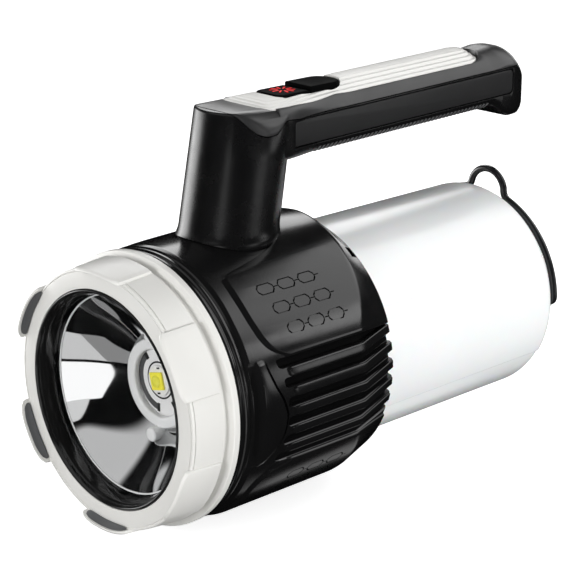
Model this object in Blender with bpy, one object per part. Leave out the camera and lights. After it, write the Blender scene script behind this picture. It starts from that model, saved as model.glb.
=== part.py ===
# Handheld searchlight: a faceted bezel with six lugs, a ribbed drum body, a white lantern
# tail with a hanging bail, and a carrying handle with two buttons.
# Lengths are in metres and angles in degrees. +Z is up and the lamp shines along -Y.
# Everything is drawn from the lamp's own axis, with y = 0 at the mouth of the lens ring,
# and one empty then sets the lamp down on the ground, middle of its length at the origin.

import math

import bmesh
import bpy
from mathutils import Matrix, Vector

# Clearances
CLEARANCE = 0.0003
RUNNING_GAP = 0.0004
SEAM_GAP = 0.0004
OVERRUN = 0.004
MERGE_DISTANCE = 0.000001

# Lens ring and lens
HEAD_STEP = 0.0105
RING_LENGTH = 0.0083
RING_BEAD = 0.0014
RING_FRONT_WALL = 0.0030
RING_MOUTH_WALL = 0.0016
LENS_THICKNESS = 0.0021
LENS_INSET = 0.0019
LENS_CHAMFER = 0.0003

# Bezel
FACE_WIDTH = 0.0071
FACE_DROP = 0.0004
BEZEL_LENGTH = 0.0132
BEZEL_SPREAD = 0.0011
GROOVE_WIDTH = 0.0020
GROOVE_DEPTH = 0.0014
GROOVE_CHAMFER = 0.0008
FLANGE_PROUD = 0.0001
FLANGE_WIDTH = 0.0034
COLLAR_INSET = 0.0064
THREAD_LENGTH = 0.0070
PAD_COUNT = 6
PAD_SHARE = 0.5
PAD_RISE = 0.0010
PAD_REAR_CHAMFER = 0.0004
LUG_REACH = 0.0037
LUG_WALL = 0.0013
LUG_CHAMFER = 0.0007
LUG_END_SHARES = (0.30, 0.86, 1.0, 1.0, 1.0, 0.86, 0.30)
LUG_PAD_SWEEP_SHARE = 0.88
LUG_PAD_WIDTH = 0.0023
LUG_PAD_STEP = 0.0016
LUG_PAD_LIP = 0.0004

# Reflector and light source
RIM_THICKNESS = 0.0012
REFLECTOR_INSET = 0.0034
REFLECTOR_DEPTH = 0.0174
REFLECTOR_WALL = 0.0012
REFLECTOR_BOW = 0.0012
GASKET_RADIUS = 0.0166
GASKET_WIDTH = 0.0042
GASKET_HEIGHT = 0.0024
GASKET_BOSS_RADIUS = 0.0027
GASKET_BOSS_OFFSET = 0.0186
GASKET_BOSS_HEIGHT = 0.0058
LED_BOARD_THICKNESS = 0.0016
LED_BOARD_MARGIN = 0.0019
LED_BASE_RADIUS = 0.0056
LED_BASE_THICKNESS = 0.0006
LED_CHIP_SIDE = 0.0065
LED_CHIP_THICKNESS = 0.0008
LED_TURN = 15.0

# Heat sink
PEDESTAL_RADIUS = 0.0160
PEDESTAL_HEIGHT = 0.0008
SINK_THICKNESS = 0.0026
SINK_FIN_HEIGHT = 0.0020
SINK_FIN_WIDTH = 0.0024
SINK_FIN_PITCH = 0.0056
SINK_FIN_COUNT = 4

# Body shell
BODY_RADIUS = 0.0509
PANEL_HEIGHT = 0.0009
BODY_WALL = 0.0060
BODY_REAR = 0.0971
COLLAR_WALL = 0.0033
NOSE_WALL = 0.0017
BODY_RING_INSET = 0.0004
BODY_RING_WIDTH = 0.0022
BODY_RING_DEPTH = 0.0007
BODY_RING_COUNT = 2
SHOULDER_START = 0.0264
TAPER_START = 0.0790
RIM_TAPER = 0.0036
RIM_CHAMFER = 0.0008
RIM_LAND = 0.0007
LIP_LENGTH = 0.0094
FOOT_DROP = 0.0004
FOOT_HALF_WIDTH = 0.0090
FOOT_START = 0.0360
FOOT_END = 0.0820
FOOT_ROOT = 0.0040

# Raised panels of the shell. Each row holds an angle, how far back the panel's front edge
# stands and how far back its rear slope begins, as shares of the two sizes below.
PANEL_REACH = 0.0472
PANEL_SLOPE_REACH = 0.0140
PANEL_FRONT = 0.0330
PANEL_WALL = 0.0014
PANEL_ROOT = 0.0018
PANEL_EDGE_ANGLE = 1.0
CROWN_SHARES = (
    (21.6, 0.235, 0.04),
    (23.5, 0.160, 0.09),
    (27.0, 0.086, 0.18),
    (32.0, 0.039, 0.29),
    (40.0, 0.009, 0.43),
    (49.0, 0.000, 0.57),
    (58.0, 0.010, 0.69),
    (60.5, 0.086, 0.73),
    (63.0, 0.288, 0.76),
    (68.0, 0.620, 0.81),
    (72.0, 0.845, 0.84),
    (76.0, 0.935, 0.88),
    (80.0, 0.975, 0.92),
    (85.0, 0.995, 0.975),
    (90.0, 1.000, 1.00),
)
BELLY_SHARES = (
    (-25.1, 0.278, 0.04),
    (-26.6, 0.171, 0.07),
    (-29.5, 0.075, 0.12),
    (-33.0, 0.010, 0.18),
    (-38.0, -0.022, 0.24),
    (-50.0, -0.030, 0.32),
    (-64.0, -0.030, 0.32),
    (-77.0, -0.030, 0.32),
    (-90.0, -0.030, 0.32),
)

# Ribs and the leaf-shaped step in front of them
RIB_PITCH = 8.2
RIB_MIDDLE_ANGLE = -1.7
RIB_GAP_COUNT = 6
RIB_GAP_HALF_SHARE = 0.21
RIB_GAP_DEPTH = 0.0026
RIB_HALF_SHARE = 0.2375
RIB_RISE = 0.0007
RIB_FRONT = 0.0366
RIB_FRONT_BOW = 0.0048
RIB_SET_BACK = 0.0026
RIB_BEND = 0.0790
RIB_SWEEP = 4.5
RIM_CUT_DEPTH = 0.0018
LEAF_START = 0.0268
LEAF_BOW = 0.0136
LEAF_RISE = 0.0006
LEAF_WALL = 0.0013
LEAF_SHARES = (
    (23.4, 0.39),
    (18.0, 0.47),
    (11.0, 0.63),
    (4.0, 0.86),
    (-3.0, 0.98),
    (-9.0, 0.93),
    (-15.0, 0.76),
    (-20.0, 0.46),
    (-23.6, 0.20),
)

# Power inside the body
PLATE_THICKNESS = 0.0020
CELL_RADIUS = 0.0091
CELL_LENGTH = 0.0650
CELL_COUNT = 3
CELL_SPACING = 0.0006
CELL_CHAMFER = 0.0006
DRIVER_LENGTH = 0.0440
DRIVER_HALF_WIDTH = 0.0180
DRIVER_THICKNESS = 0.0016

# Lantern tail
DIFFUSER_INSET = 0.0040
DIFFUSER_WALL = 0.0022
DIFFUSER_END = 0.1952
DIFFUSER_FILLET = 0.0045
DIFFUSER_FLANGE = 0.0013
LANTERN_BOARD_MARGIN = 0.0124
LANTERN_BOARD_THICKNESS = 0.0016

# Bail
WIRE_RADIUS = 0.0014
BAIL_INSET = 0.0024
BAIL_STANDOFF = 0.0004
LOOP_ANGLE = 85.0
LOOP_RADIUS = 0.0087
CORNER_ANGLE = 4.0
LOOP_CORNER_ANGLE = 24.0
PIN_BEND = 0.0028
PIN_LENGTH = 0.0046
EAR_HALF_HEIGHT = 0.0034
EAR_CAP = 0.0016
EAR_ROOT = 0.0010

# Neck
NECK_HALF_WIDTH = 0.0177
NECK_HALF_LENGTH = 0.0187
NECK_TAPER_SHARE = 0.97
NECK_FOOT_Y = 0.0586
NECK_SINK = 0.0010
NECK_LEAN = 10.2
NECK_ROOT = 0.0090
NECK_FLARE = 0.0006
NECK_FLARE_TOP = 0.0022
NECK_WALL = 0.0034
NECK_CAVITY_RISE = 0.0037
NECK_EDGE = 0.0005
DOME_FLAT = 0.0096
DOME_RUN = 0.0079
DOME_DROP = 0.0095

# Grip
GRIP_START = 0.0800
GRIP_SLOPE_SHARE = 0.0175
GRIP_HALF_WIDTH = 0.0130
GRIP_CLEARANCE = 0.0253
GRIP_DEPTH = 0.0197
GRIP_END = 0.2085
GRIP_ROOT = 0.0100
GRIP_LOWER_EDGE = 0.0028
GRIP_LOWER_RISE = 0.0034
SHOULDER_DROP = 0.0060
SHOULDER_ROUNDING = 0.0012
SHOULDER_RUN = 0.0105
ROUNDING_START = 0.0880
ROUNDING_END = 0.1120
CREST_RISE = 0.0014
STOP_LENGTH = 0.0215
STOP_DROP = 0.0060
CROWN_DROP = 0.0100
SEAM_DEPTH = 0.0058
SEAM_RISE = 0.0084
SEAM_RUN = 0.0330

# Trim on the grip
SIDE_PANEL_THICKNESS = 0.0012
SIDE_PANEL_INSET = 0.0003
SIDE_PANEL_LIFT = 0.0036
SIDE_PANEL_MARGIN = 0.0009
SIDE_PANEL_START = 0.0780
SIDE_PANEL_END_MARGIN = 0.0087
SIDE_PANEL_CORNER = 0.0022
PAD_START = 0.0900
PAD_END_MARGIN = 0.0235
PAD_HALF_WIDTH = 0.0085
PAD_POCKET = 0.0012
PAD_PROUD = 0.0009
PAD_RIB_PITCH = 0.0034
PAD_RIB_HEIGHT = 0.0007
INSERT_START = 0.0652
INSERT_END_MARGIN = 0.0213
INSERT_HEAD_HALF_WIDTH = 0.0129
INSERT_HALF_WIDTH = 0.0094
INSERT_HEAD_END = 0.0765
INSERT_WAIST = 0.0960
INSERT_CORNER = 0.0052
INSERT_POCKET = 0.0020
INSERT_SINK = 0.0009
INSERT_SETTLE = 0.0006
INSERT_CREST_SHARE = 1.0
INSERT_STEP_INSETS = (0.0005, 0.0016, 0.0022, 0.0033, 0.0039, 0.0050, 0.0056, 0.0062)
INSERT_STEP_RISES = (0.0005, 0.0007, 0.0011, 0.0013, 0.0017, 0.0019, 0.0022, 0.0023)

# Buttons and the board under them
BUTTON_START = 0.0780
BUTTON_STEP = 0.0930
BUTTON_END = 0.1110
BUTTON_HALF_WIDTH = 0.0071
BUTTON_CORNER = 0.0026
BUTTON_END_CORNER = 0.0062
BUTTON_HEIGHT = 0.0040
FRONT_BUTTON_PROUD = 0.0021
REAR_BUTTON_PROUD = 0.0033
BUTTON_EDGE = 0.0005
BUTTON_SPLIT = 0.0004
SWITCH_GAP = 0.0012
SWITCH_HALF_SIDE = 0.0030
BOARD_START = 0.0795
BOARD_END = 0.1170
BOARD_HALF_WIDTH = 0.0085
BOARD_DEPTH = 0.0090
BOARD_THICKNESS = 0.0016
TRAY_HALF_WIDTH = 0.0096
TRAY_END_MARGIN = 0.0225
TRAY_LIFT = 0.0047

# Charging socket and its cover, on the neck's left side
PORT_Y = 0.0615
PORT_LIFT = 0.0105
PORT_HEIGHT = 0.0135
PORT_HALF_WIDTH = 0.0041
PORT_INSET = 0.0005
PORT_DEPTH = 0.0023
SOCKET_HALF_WIDTH = 0.0016
SOCKET_HALF_HEIGHT = 0.0045
SOCKET_LENGTH = 0.0064
SOCKET_WALL = 0.0005
SOCKET_HOLLOW = 0.0042

# Facets
FINE_STEPS = 72
ROUND_STEPS = 60
COARSE_STEPS = 48
NECK_STEPS = 40
SMALL_STEPS = 32
CELL_STEPS = 20
WIRE_SIDES = 10
SMOOTH_ANGLE = 32.0

# Radii, from the body's own outwards and inwards
FRAME_RADIUS = BODY_RADIUS - PANEL_HEIGHT
BODY_BORE = FRAME_RADIUS - BODY_WALL
BODY_RING_RADIUS = FRAME_RADIUS - BODY_RING_INSET
RIM_RADIUS = FRAME_RADIUS - RIM_TAPER
FLANGE_RADIUS = FRAME_RADIUS + FLANGE_PROUD
THREAD_RADIUS = FRAME_RADIUS - COLLAR_INSET
OPENING_RADIUS = FRAME_RADIUS - HEAD_STEP
NOSE_RADIUS = OPENING_RADIUS
LENS_RADIUS = OPENING_RADIUS - LENS_INSET
REFLECTOR_RADIUS = OPENING_RADIUS - REFLECTOR_INSET
RIB_GAP_HALF_WIDTH = FRAME_RADIUS * math.radians(RIB_PITCH) * RIB_GAP_HALF_SHARE
RIB_HALF_WIDTH = FRAME_RADIUS * math.radians(RIB_PITCH) * RIB_HALF_SHARE
DIFFUSER_RADIUS = RIM_RADIUS - DIFFUSER_INSET
LANTERN_BOARD_RADIUS = DIFFUSER_RADIUS - LANTERN_BOARD_MARGIN
BAIL_RADIUS = DIFFUSER_RADIUS - BAIL_INSET

# Heights of the handle, from the body upwards, and where its trim ends
NECK_FOOT_Z = FRAME_RADIUS - NECK_SINK
GRIP_BOTTOM = FRAME_RADIUS + GRIP_CLEARANCE
GRIP_TOP = GRIP_BOTTOM + GRIP_DEPTH
NECK_TOP_Z = GRIP_TOP
NECK_CAVITY_TOP = GRIP_BOTTOM + NECK_CAVITY_RISE
SEAM_HEIGHT = GRIP_TOP - SEAM_DEPTH
SIDE_PANEL_BOTTOM = GRIP_BOTTOM + SIDE_PANEL_LIFT
INSERT_FLOOR = GRIP_TOP - INSERT_POCKET
INSERT_EDGE = GRIP_TOP - INSERT_SINK
BOARD_FLOOR = GRIP_TOP - BOARD_DEPTH
TRAY_FLOOR = GRIP_BOTTOM + TRAY_LIFT
PORT_BOTTOM = NECK_FOOT_Z + PORT_LIFT
SIDE_PANEL_END = GRIP_END - SIDE_PANEL_END_MARGIN
PAD_END = GRIP_END - PAD_END_MARGIN
INSERT_END = GRIP_END - INSERT_END_MARGIN
TRAY_END = GRIP_END - TRAY_END_MARGIN

# Places along the lamp's axis, front to rear
BEZEL_BORE = OPENING_RADIUS + CLEARANCE
BEZEL_FRONT_RADIUS = BEZEL_BORE + FACE_WIDTH
BEZEL_REAR_RADIUS = BEZEL_FRONT_RADIUS + BEZEL_SPREAD
GROOVE_END = BEZEL_LENGTH + GROOVE_WIDTH
BEZEL_REAR = GROOVE_END + FLANGE_WIDTH
THREAD_FRONT = BEZEL_REAR - THREAD_LENGTH
RIM_FRONT = RING_LENGTH + CLEARANCE
NOSE_FRONT = RIM_FRONT + RIM_THICKNESS + CLEARANCE
THROAT_Y = RIM_FRONT + REFLECTOR_DEPTH
THROAT_RADIUS = GASKET_RADIUS + CLEARANCE
LED_BOARD_FRONT = THROAT_Y + CLEARANCE
LED_BOARD_RADIUS = THROAT_RADIUS + LED_BOARD_MARGIN
LED_BASE_FRONT = LED_BOARD_FRONT - CLEARANCE - LED_BASE_THICKNESS
LED_CHIP_FRONT = LED_BASE_FRONT - CLEARANCE - LED_CHIP_THICKNESS
SINK_FRONT = LED_BOARD_FRONT + LED_BOARD_THICKNESS + CLEARANCE
SINK_SEAT = SINK_FRONT + PEDESTAL_HEIGHT
SINK_REAR = SINK_SEAT + SINK_THICKNESS + SINK_FIN_HEIGHT
BORE_FRONT = SINK_SEAT - CLEARANCE
FRONT_PLATE_Y = SINK_REAR + CLEARANCE
CELL_START = FRONT_PLATE_Y + PLATE_THICKNESS + CLEARANCE
REAR_PLATE_Y = CELL_START + CELL_LENGTH + CLEARANCE
LANTERN_BOARD_Y = REAR_PLATE_Y + PLATE_THICKNESS + CLEARANCE
BODY_FRONT = BEZEL_REAR + CLEARANCE
LIP_FRONT = BODY_REAR - LIP_LENGTH
DIFFUSER_FLANGE_REAR = LIP_FRONT - CLEARANCE
DIFFUSER_FRONT = DIFFUSER_FLANGE_REAR - DIFFUSER_FLANGE
BAIL_Y = DIFFUSER_END + CLEARANCE + BAIL_STANDOFF + WIRE_RADIUS
LUG_FRONT = -LUG_REACH
AXIS_HEIGHT = BODY_RADIUS + FOOT_DROP
MIDDLE_Y = (GRIP_END + LUG_FRONT) / 2


def material(name, color, roughness, metallic=0.0, transmission=0.0, glow=0.0):
    made = bpy.data.materials.new(name)
    made.use_nodes = True
    shader = made.node_tree.nodes["Principled BSDF"]
    shader.inputs["Base Color"].default_value = (*color, 1.0)
    shader.inputs["Roughness"].default_value = roughness
    shader.inputs["Metallic"].default_value = metallic
    shader.inputs["Transmission Weight"].default_value = transmission
    if glow:
        shader.inputs["Emission Color"].default_value = (*color, 1.0)
        shader.inputs["Emission Strength"].default_value = glow
    made.diffuse_color = (*color, 1.0)
    return made


def clear_scene():
    for item in list(bpy.data.objects):
        bpy.data.objects.remove(item, do_unlink=True)


def make_object(name, bm, look, root, origin=None):
    bmesh.ops.remove_doubles(bm, verts=bm.verts, dist=MERGE_DISTANCE)
    bmesh.ops.recalc_face_normals(bm, faces=bm.faces)
    mesh = bpy.data.meshes.new(name)
    bm.to_mesh(mesh)
    bm.free()
    item = bpy.data.objects.new(name, mesh)
    bpy.context.scene.collection.objects.link(item)
    item.parent = root
    if origin is not None:
        mesh.transform(Matrix.Translation(-Vector(origin)))
        item.location = origin
    if look is not None:
        mesh.materials.append(look)
        mesh.shade_smooth()
        mesh.set_sharp_from_angle(angle=math.radians(SMOOTH_ANGLE))
    else:
        item.hide_render = True
        item.display_type = "WIRE"
    return item


def combine(target, tool, operation):
    modifier = target.modifiers.new(tool.name, "BOOLEAN")
    modifier.operation = operation
    modifier.object = tool
    modifier.solver = "EXACT"
    return target


# A closed turned body round the lamp's axis, from its outline of (y, radius) points.
def turned(outline, steps, first=0):
    bm = bmesh.new()
    verts = [bm.verts.new(drum_point(y, first, radius)) for y, radius in outline]
    edges = [bm.edges.new(pair) for pair in zip(verts, verts[1:])]
    if outline[0][1] > 0 or outline[-1][1] > 0:
        edges.append(bm.edges.new((verts[-1], verts[0])))
    bmesh.ops.spin(bm, geom=verts + edges, cent=(0, 0, 0), axis=(0, 1, 0),
                   angle=math.tau, steps=steps, use_merge=True)
    return bm


# A closed body through a row of rings that all hold the same number of points.
def lofted(rings, bm=None):
    bm = bm or bmesh.new()
    rows = [[bm.verts.new(point) for point in ring] for ring in rings]
    for row, following in zip(rows, rows[1:]):
        for index in range(len(row)):
            after = (index + 1) % len(row)
            bm.faces.new((row[index], row[after], following[after], following[index]))
    bm.faces.new(rows[0])
    bm.faces.new(rows[-1])
    return bm


# As above, with each end closed by strips between facing points, for ends that are not flat.
def strip_capped(rings):
    bm = bmesh.new()
    rows = [[bm.verts.new(point) for point in ring] for ring in rings]
    count = len(rows[0])
    for row, following in zip(rows, rows[1:]):
        for index in range(count):
            after = (index + 1) % count
            bm.faces.new((row[index], row[after], following[after], following[index]))
    for cap in (rows[0], rows[-1]):
        for index in range(count // 2 - 1):
            across = count - 1 - index
            bm.faces.new((cap[index], cap[index + 1], cap[across - 1], cap[across]))
    return bm


def block(low, high, bm=None):
    corners = [(low[0], high[0]), (low[1], high[1]), (low[2], high[2])]
    bm = bm or bmesh.new()
    middle = Vector([(a + b) / 2 for a, b in corners])
    size = Vector([b - a for a, b in corners])
    place = Matrix.Translation(middle) @ Matrix.Diagonal((*size, 1))
    bmesh.ops.create_cube(bm, size=1, matrix=place)
    return bm


# A point on a drum round the lamp's axis, the angle counted from +X towards +Z.
def drum_point(y, angle, radius):
    turn = math.radians(angle)
    return (radius * math.cos(turn), y, radius * math.sin(turn))


# A strip that follows a path on the drum. Each station holds y, angle, half width and the
# radii of the strip's inner and outer faces.
def ribbon(path, bm=None):
    flat = [Vector((y, BODY_RADIUS * math.radians(angle))) for y, angle, _, _, _ in path]
    rings = []
    for index, (_, _, half, low, high) in enumerate(path):
        before = flat[max(index - 1, 0)]
        after = flat[min(index + 1, len(flat) - 1)]
        along = (after - before).normalized()
        across = Vector((-along.y, along.x)) * half
        left = flat[index] + across
        right = flat[index] - across
        ring = []
        for spot, radius in ((left, low), (right, low), (right, high), (left, high)):
            ring.append(drum_point(spot.x, math.degrees(spot.y / BODY_RADIUS), radius))
        rings.append(ring)
    return lofted(rings, bm)


def mirrored(path):
    return [(y, 180 - angle, half, low, high) for y, angle, half, low, high in path]


# An upright rounded rectangle in plan: half sizes along X and Y, and its corner radius.
def plan_loop(middle_y, half_x, half_y, corner, height, front_corner=None, arc_steps=4):
    loop = []
    front = corner if front_corner is None else front_corner
    spots = ((1, 1, 0, corner), (-1, 1, 90, corner), (-1, -1, 180, front), (1, -1, 270, front))
    for side_x, side_y, first, radius in spots:
        for step in range(arc_steps + 1):
            turn = math.radians(first + 90 * step / arc_steps)
            x = side_x * (half_x - radius) + radius * math.cos(turn)
            y = middle_y + side_y * (half_y - radius) + radius * math.sin(turn)
            loop.append((x, y, height))
    return loop


# The grip climbs gently to the rear.
def lift(y):
    return max(0, y - GRIP_START) * GRIP_SLOPE_SHARE


def lifted(loop):
    return [(x, y, z + lift(y)) for x, y, z in loop]


# Head

def bezel_outline():
    return [
        (0, BEZEL_BORE),
        (FACE_DROP, BEZEL_FRONT_RADIUS),
        (BEZEL_LENGTH, BEZEL_REAR_RADIUS),
        (BEZEL_LENGTH + GROOVE_CHAMFER, BEZEL_REAR_RADIUS - GROOVE_DEPTH),
        (GROOVE_END, BEZEL_REAR_RADIUS - GROOVE_DEPTH),
        (GROOVE_END + GROOVE_CHAMFER, FLANGE_RADIUS),
        (BEZEL_REAR, FLANGE_RADIUS),
        (BEZEL_REAR, THREAD_RADIUS + CLEARANCE),
        (THREAD_FRONT, THREAD_RADIUS + CLEARANCE),
        (THREAD_FRONT, BEZEL_BORE),
    ]


def pad_angles():
    pitch = 360 / PAD_COUNT
    return [pitch * (index + 0.5) for index in range(PAD_COUNT)]


def pad_sweep():
    return 360 / PAD_COUNT * PAD_SHARE


LUG_OUTER_RADIUS = BEZEL_FRONT_RADIUS + PAD_RISE
LUG_INNER_RADIUS = LUG_OUTER_RADIUS - LUG_WALL


def make_bezel(root):
    look = material("bezel_plastic", (0.80, 0.80, 0.77), 0.42)
    bezel = make_object("bezel", turned(bezel_outline(), FINE_STEPS), look, root)
    raised = BEZEL_REAR_RADIUS + PAD_RISE
    steps = len(LUG_END_SHARES) - 1
    bm = bmesh.new()
    for middle in pad_angles():
        rings = []
        for step, reach_share in enumerate(LUG_END_SHARES):
            turn = middle + pad_sweep() * (step / steps - 0.5)
            front = -LUG_REACH * reach_share
            outline = [
                (front, LUG_INNER_RADIUS),
                (front, LUG_OUTER_RADIUS - LUG_CHAMFER),
                (front + LUG_CHAMFER, LUG_OUTER_RADIUS),
                (BEZEL_LENGTH - PAD_REAR_CHAMFER, raised),
                (BEZEL_LENGTH - PAD_REAR_CHAMFER / 2, BEZEL_REAR_RADIUS - PAD_RISE),
                (PAD_RISE * 2, BEZEL_FRONT_RADIUS - PAD_RISE),
                (PAD_RISE * 2, LUG_INNER_RADIUS),
            ]
            rings.append([drum_point(y, turn, radius) for y, radius in outline])
        lofted(rings, bm)
    pads = make_object("bezel_pads_raised", bm, None, root)
    return combine(bezel, pads, "UNION")


def make_lug_pads(root):
    look = material("lug_pad_rubber", (0.10, 0.10, 0.11), 0.6)
    outer = LUG_INNER_RADIUS - CLEARANCE
    inner = outer - LUG_PAD_WIDTH
    base = -CLEARANCE / 6
    steps = len(LUG_END_SHARES) - 1
    for number, middle in enumerate(pad_angles(), start=1):
        rings = []
        for step, reach_share in enumerate(LUG_END_SHARES):
            turn = middle + pad_sweep() * LUG_PAD_SWEEP_SHARE * (step / steps - 0.5)
            tip = -(LUG_REACH - LUG_PAD_LIP) * reach_share
            foot = outer - LUG_PAD_WIDTH * reach_share
            outline = [
                (base, outer),
                (tip, outer),
                (tip, outer - LUG_PAD_LIP),
                (tip * LUG_PAD_STEP / LUG_REACH, (outer * 3 + inner * 2) / 5),
                (base - LUG_PAD_LIP * reach_share, foot),
                (base, foot),
            ]
            rings.append([drum_point(y, turn, radius) for y, radius in outline])
        make_object("lug_pad_%d" % number, lofted(rings), look.copy(), root)


def make_lens_ring(root):
    look = material("lens_ring_gloss", (0.012, 0.012, 0.012), 0.12)
    pocket_front = RING_LENGTH - LENS_THICKNESS - CLEARANCE
    pocket_radius = LENS_RADIUS + CLEARANCE
    outline = [
        (0, OPENING_RADIUS),
        (-CLEARANCE, OPENING_RADIUS - CLEARANCE),
        (-CLEARANCE, OPENING_RADIUS - RING_BEAD / 2),
        (RING_BEAD / 2, OPENING_RADIUS - RING_BEAD),
        (RING_BEAD, OPENING_RADIUS - RING_BEAD),
        (RING_BEAD * 1.5, OPENING_RADIUS - RING_MOUTH_WALL - CLEARANCE),
        (pocket_front, OPENING_RADIUS - RING_FRONT_WALL),
        (pocket_front, pocket_radius),
        (RING_LENGTH, pocket_radius),
        (RING_LENGTH, OPENING_RADIUS),
    ]
    return make_object("lens_ring", turned(outline, ROUND_STEPS), look, root)


def make_lens(root):
    look = material("lens_clear", (0.95, 0.97, 0.98), 0.02, transmission=1.0)
    rear = RING_LENGTH
    front = rear - LENS_THICKNESS
    outline = [
        (front, 0),
        (front, LENS_RADIUS - LENS_CHAMFER),
        (front + LENS_CHAMFER, LENS_RADIUS),
        (rear, LENS_RADIUS),
        (rear, 0),
    ]
    return make_object("lens", turned(outline, COARSE_STEPS), look, root)


# The bowl narrows from the rim to the throat along a line with a slight outward bow.
def bowl_radius(share):
    straight = REFLECTOR_RADIUS + (THROAT_RADIUS - REFLECTOR_RADIUS) * share
    return straight + REFLECTOR_BOW * math.sin(math.pi * share)


def make_reflector(root):
    look = material("reflector_chrome", (0.86, 0.87, 0.88), 0.06, metallic=1.0)
    shares = [step / 7 for step in range(8)]
    inner = [(RIM_FRONT + REFLECTOR_DEPTH * s, bowl_radius(s)) for s in shares]
    outer = [(y, radius + REFLECTOR_WALL) for y, radius in inner[2:]]
    rim_rear = RIM_FRONT + RIM_THICKNESS
    flange = NOSE_RADIUS - CLEARANCE
    neck = (rim_rear, bowl_radius((rim_rear - RIM_FRONT) / REFLECTOR_DEPTH) + REFLECTOR_WALL)
    outline = inner + outer[::-1] + [neck, (rim_rear, flange), (RIM_FRONT, flange)]
    reflector = make_object("reflector", turned(outline, COARSE_STEPS), look, root)
    notches = bmesh.new()
    for side in (1, -1):
        boss_post(side, GASKET_BOSS_RADIUS + CLEARANCE, RIM_FRONT + CLEARANCE, THROAT_Y + OVERRUN,
                  notches)
    cutter = make_object("reflector_notches", notches, None, root)
    return combine(reflector, cutter, "DIFFERENCE")


def boss_post(side, radius, front, rear, bm=None):
    rings = []
    for y in (front, rear):
        ring = []
        for step in range(CELL_STEPS):
            turn = math.tau * (step + 0.5) / CELL_STEPS
            ring.append((radius * math.cos(turn), y,
                         side * GASKET_BOSS_OFFSET + radius * math.sin(turn)))
        rings.append(ring)
    return lofted(rings, bm)


def make_led(root):
    gasket_look = material("gasket_translucent", (0.82, 0.84, 0.84), 0.35, transmission=0.3)
    rear = LED_BOARD_FRONT - CLEARANCE
    front = rear - GASKET_HEIGHT
    inner = GASKET_RADIUS - GASKET_WIDTH
    round_off = GASKET_HEIGHT / 4
    gasket_outline = [
        (rear, GASKET_RADIUS),
        (front + round_off, GASKET_RADIUS),
        (front, GASKET_RADIUS - round_off),
        (front, inner + round_off),
        (front + round_off, inner),
        (rear, inner),
    ]
    gasket = make_object("led_gasket", turned(gasket_outline, SMALL_STEPS), gasket_look, root)
    bosses = bmesh.new()
    for side in (1, -1):
        boss_post(side, GASKET_BOSS_RADIUS, rear - GASKET_BOSS_HEIGHT, rear - CLEARANCE, bosses)
    combine(gasket, make_object("gasket_bosses", bosses, None, root), "UNION")

    board_look = material("led_board_white", (0.90, 0.90, 0.90), 0.4)
    board_rear = LED_BOARD_FRONT + LED_BOARD_THICKNESS
    outline = [
        (LED_BOARD_FRONT, 0),
        (LED_BOARD_FRONT, LED_BOARD_RADIUS),
        (board_rear, LED_BOARD_RADIUS),
        (board_rear, 0),
    ]
    make_object("led_board", turned(outline, SMALL_STEPS), board_look, root)

    base_look = material("led_base_white", (0.93, 0.93, 0.93), 0.35)
    base_rear = LED_BASE_FRONT + LED_BASE_THICKNESS
    outline = [
        (LED_BASE_FRONT, 0),
        (LED_BASE_FRONT, LED_BASE_RADIUS),
        (base_rear, LED_BASE_RADIUS),
        (base_rear, 0),
    ]
    make_object("led_base", turned(outline, SMALL_STEPS), base_look, root)

    chip_look = material("led_phosphor", (0.90, 0.88, 0.10), 0.35, glow=0.4)
    half = LED_CHIP_SIDE / 2
    chip_rear = LED_CHIP_FRONT + LED_CHIP_THICKNESS
    bm = block((-half, LED_CHIP_FRONT, -half), (half, chip_rear, half))
    bmesh.ops.rotate(bm, verts=bm.verts, cent=(0, 0, 0),
                     matrix=Matrix.Rotation(math.radians(-LED_TURN), 3, "Y"))
    make_object("led_chip", bm, chip_look, root)


def make_heat_sink(root):
    look = material("heat_sink_aluminium", (0.62, 0.63, 0.65), 0.35, metallic=1.0)
    seat_rear = SINK_SEAT + SINK_THICKNESS
    outline = [
        (SINK_FRONT, 0),
        (SINK_FRONT, PEDESTAL_RADIUS),
        (SINK_SEAT, PEDESTAL_RADIUS),
        (SINK_SEAT, BODY_BORE - CLEARANCE),
    ]
    edge = BODY_BORE - CLEARANCE
    for index in range(SINK_FIN_COUNT):
        outer = edge - index * SINK_FIN_PITCH
        outline.append((SINK_REAR, outer))
        outline.append((SINK_REAR, outer - SINK_FIN_WIDTH))
        outline.append((seat_rear, outer - SINK_FIN_WIDTH))
        if index < SINK_FIN_COUNT - 1:
            outline.append((seat_rear, outer - SINK_FIN_PITCH))
    outline.append((seat_rear, 0))
    return make_object("heat_sink", turned(outline, SMALL_STEPS), look, root)


# Body shell

def surface_radius(y):
    if y <= TAPER_START:
        return FRAME_RADIUS
    share = (y - TAPER_START) / (BODY_REAR - TAPER_START)
    return FRAME_RADIUS + (RIM_RADIUS - FRAME_RADIUS) * share


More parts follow.
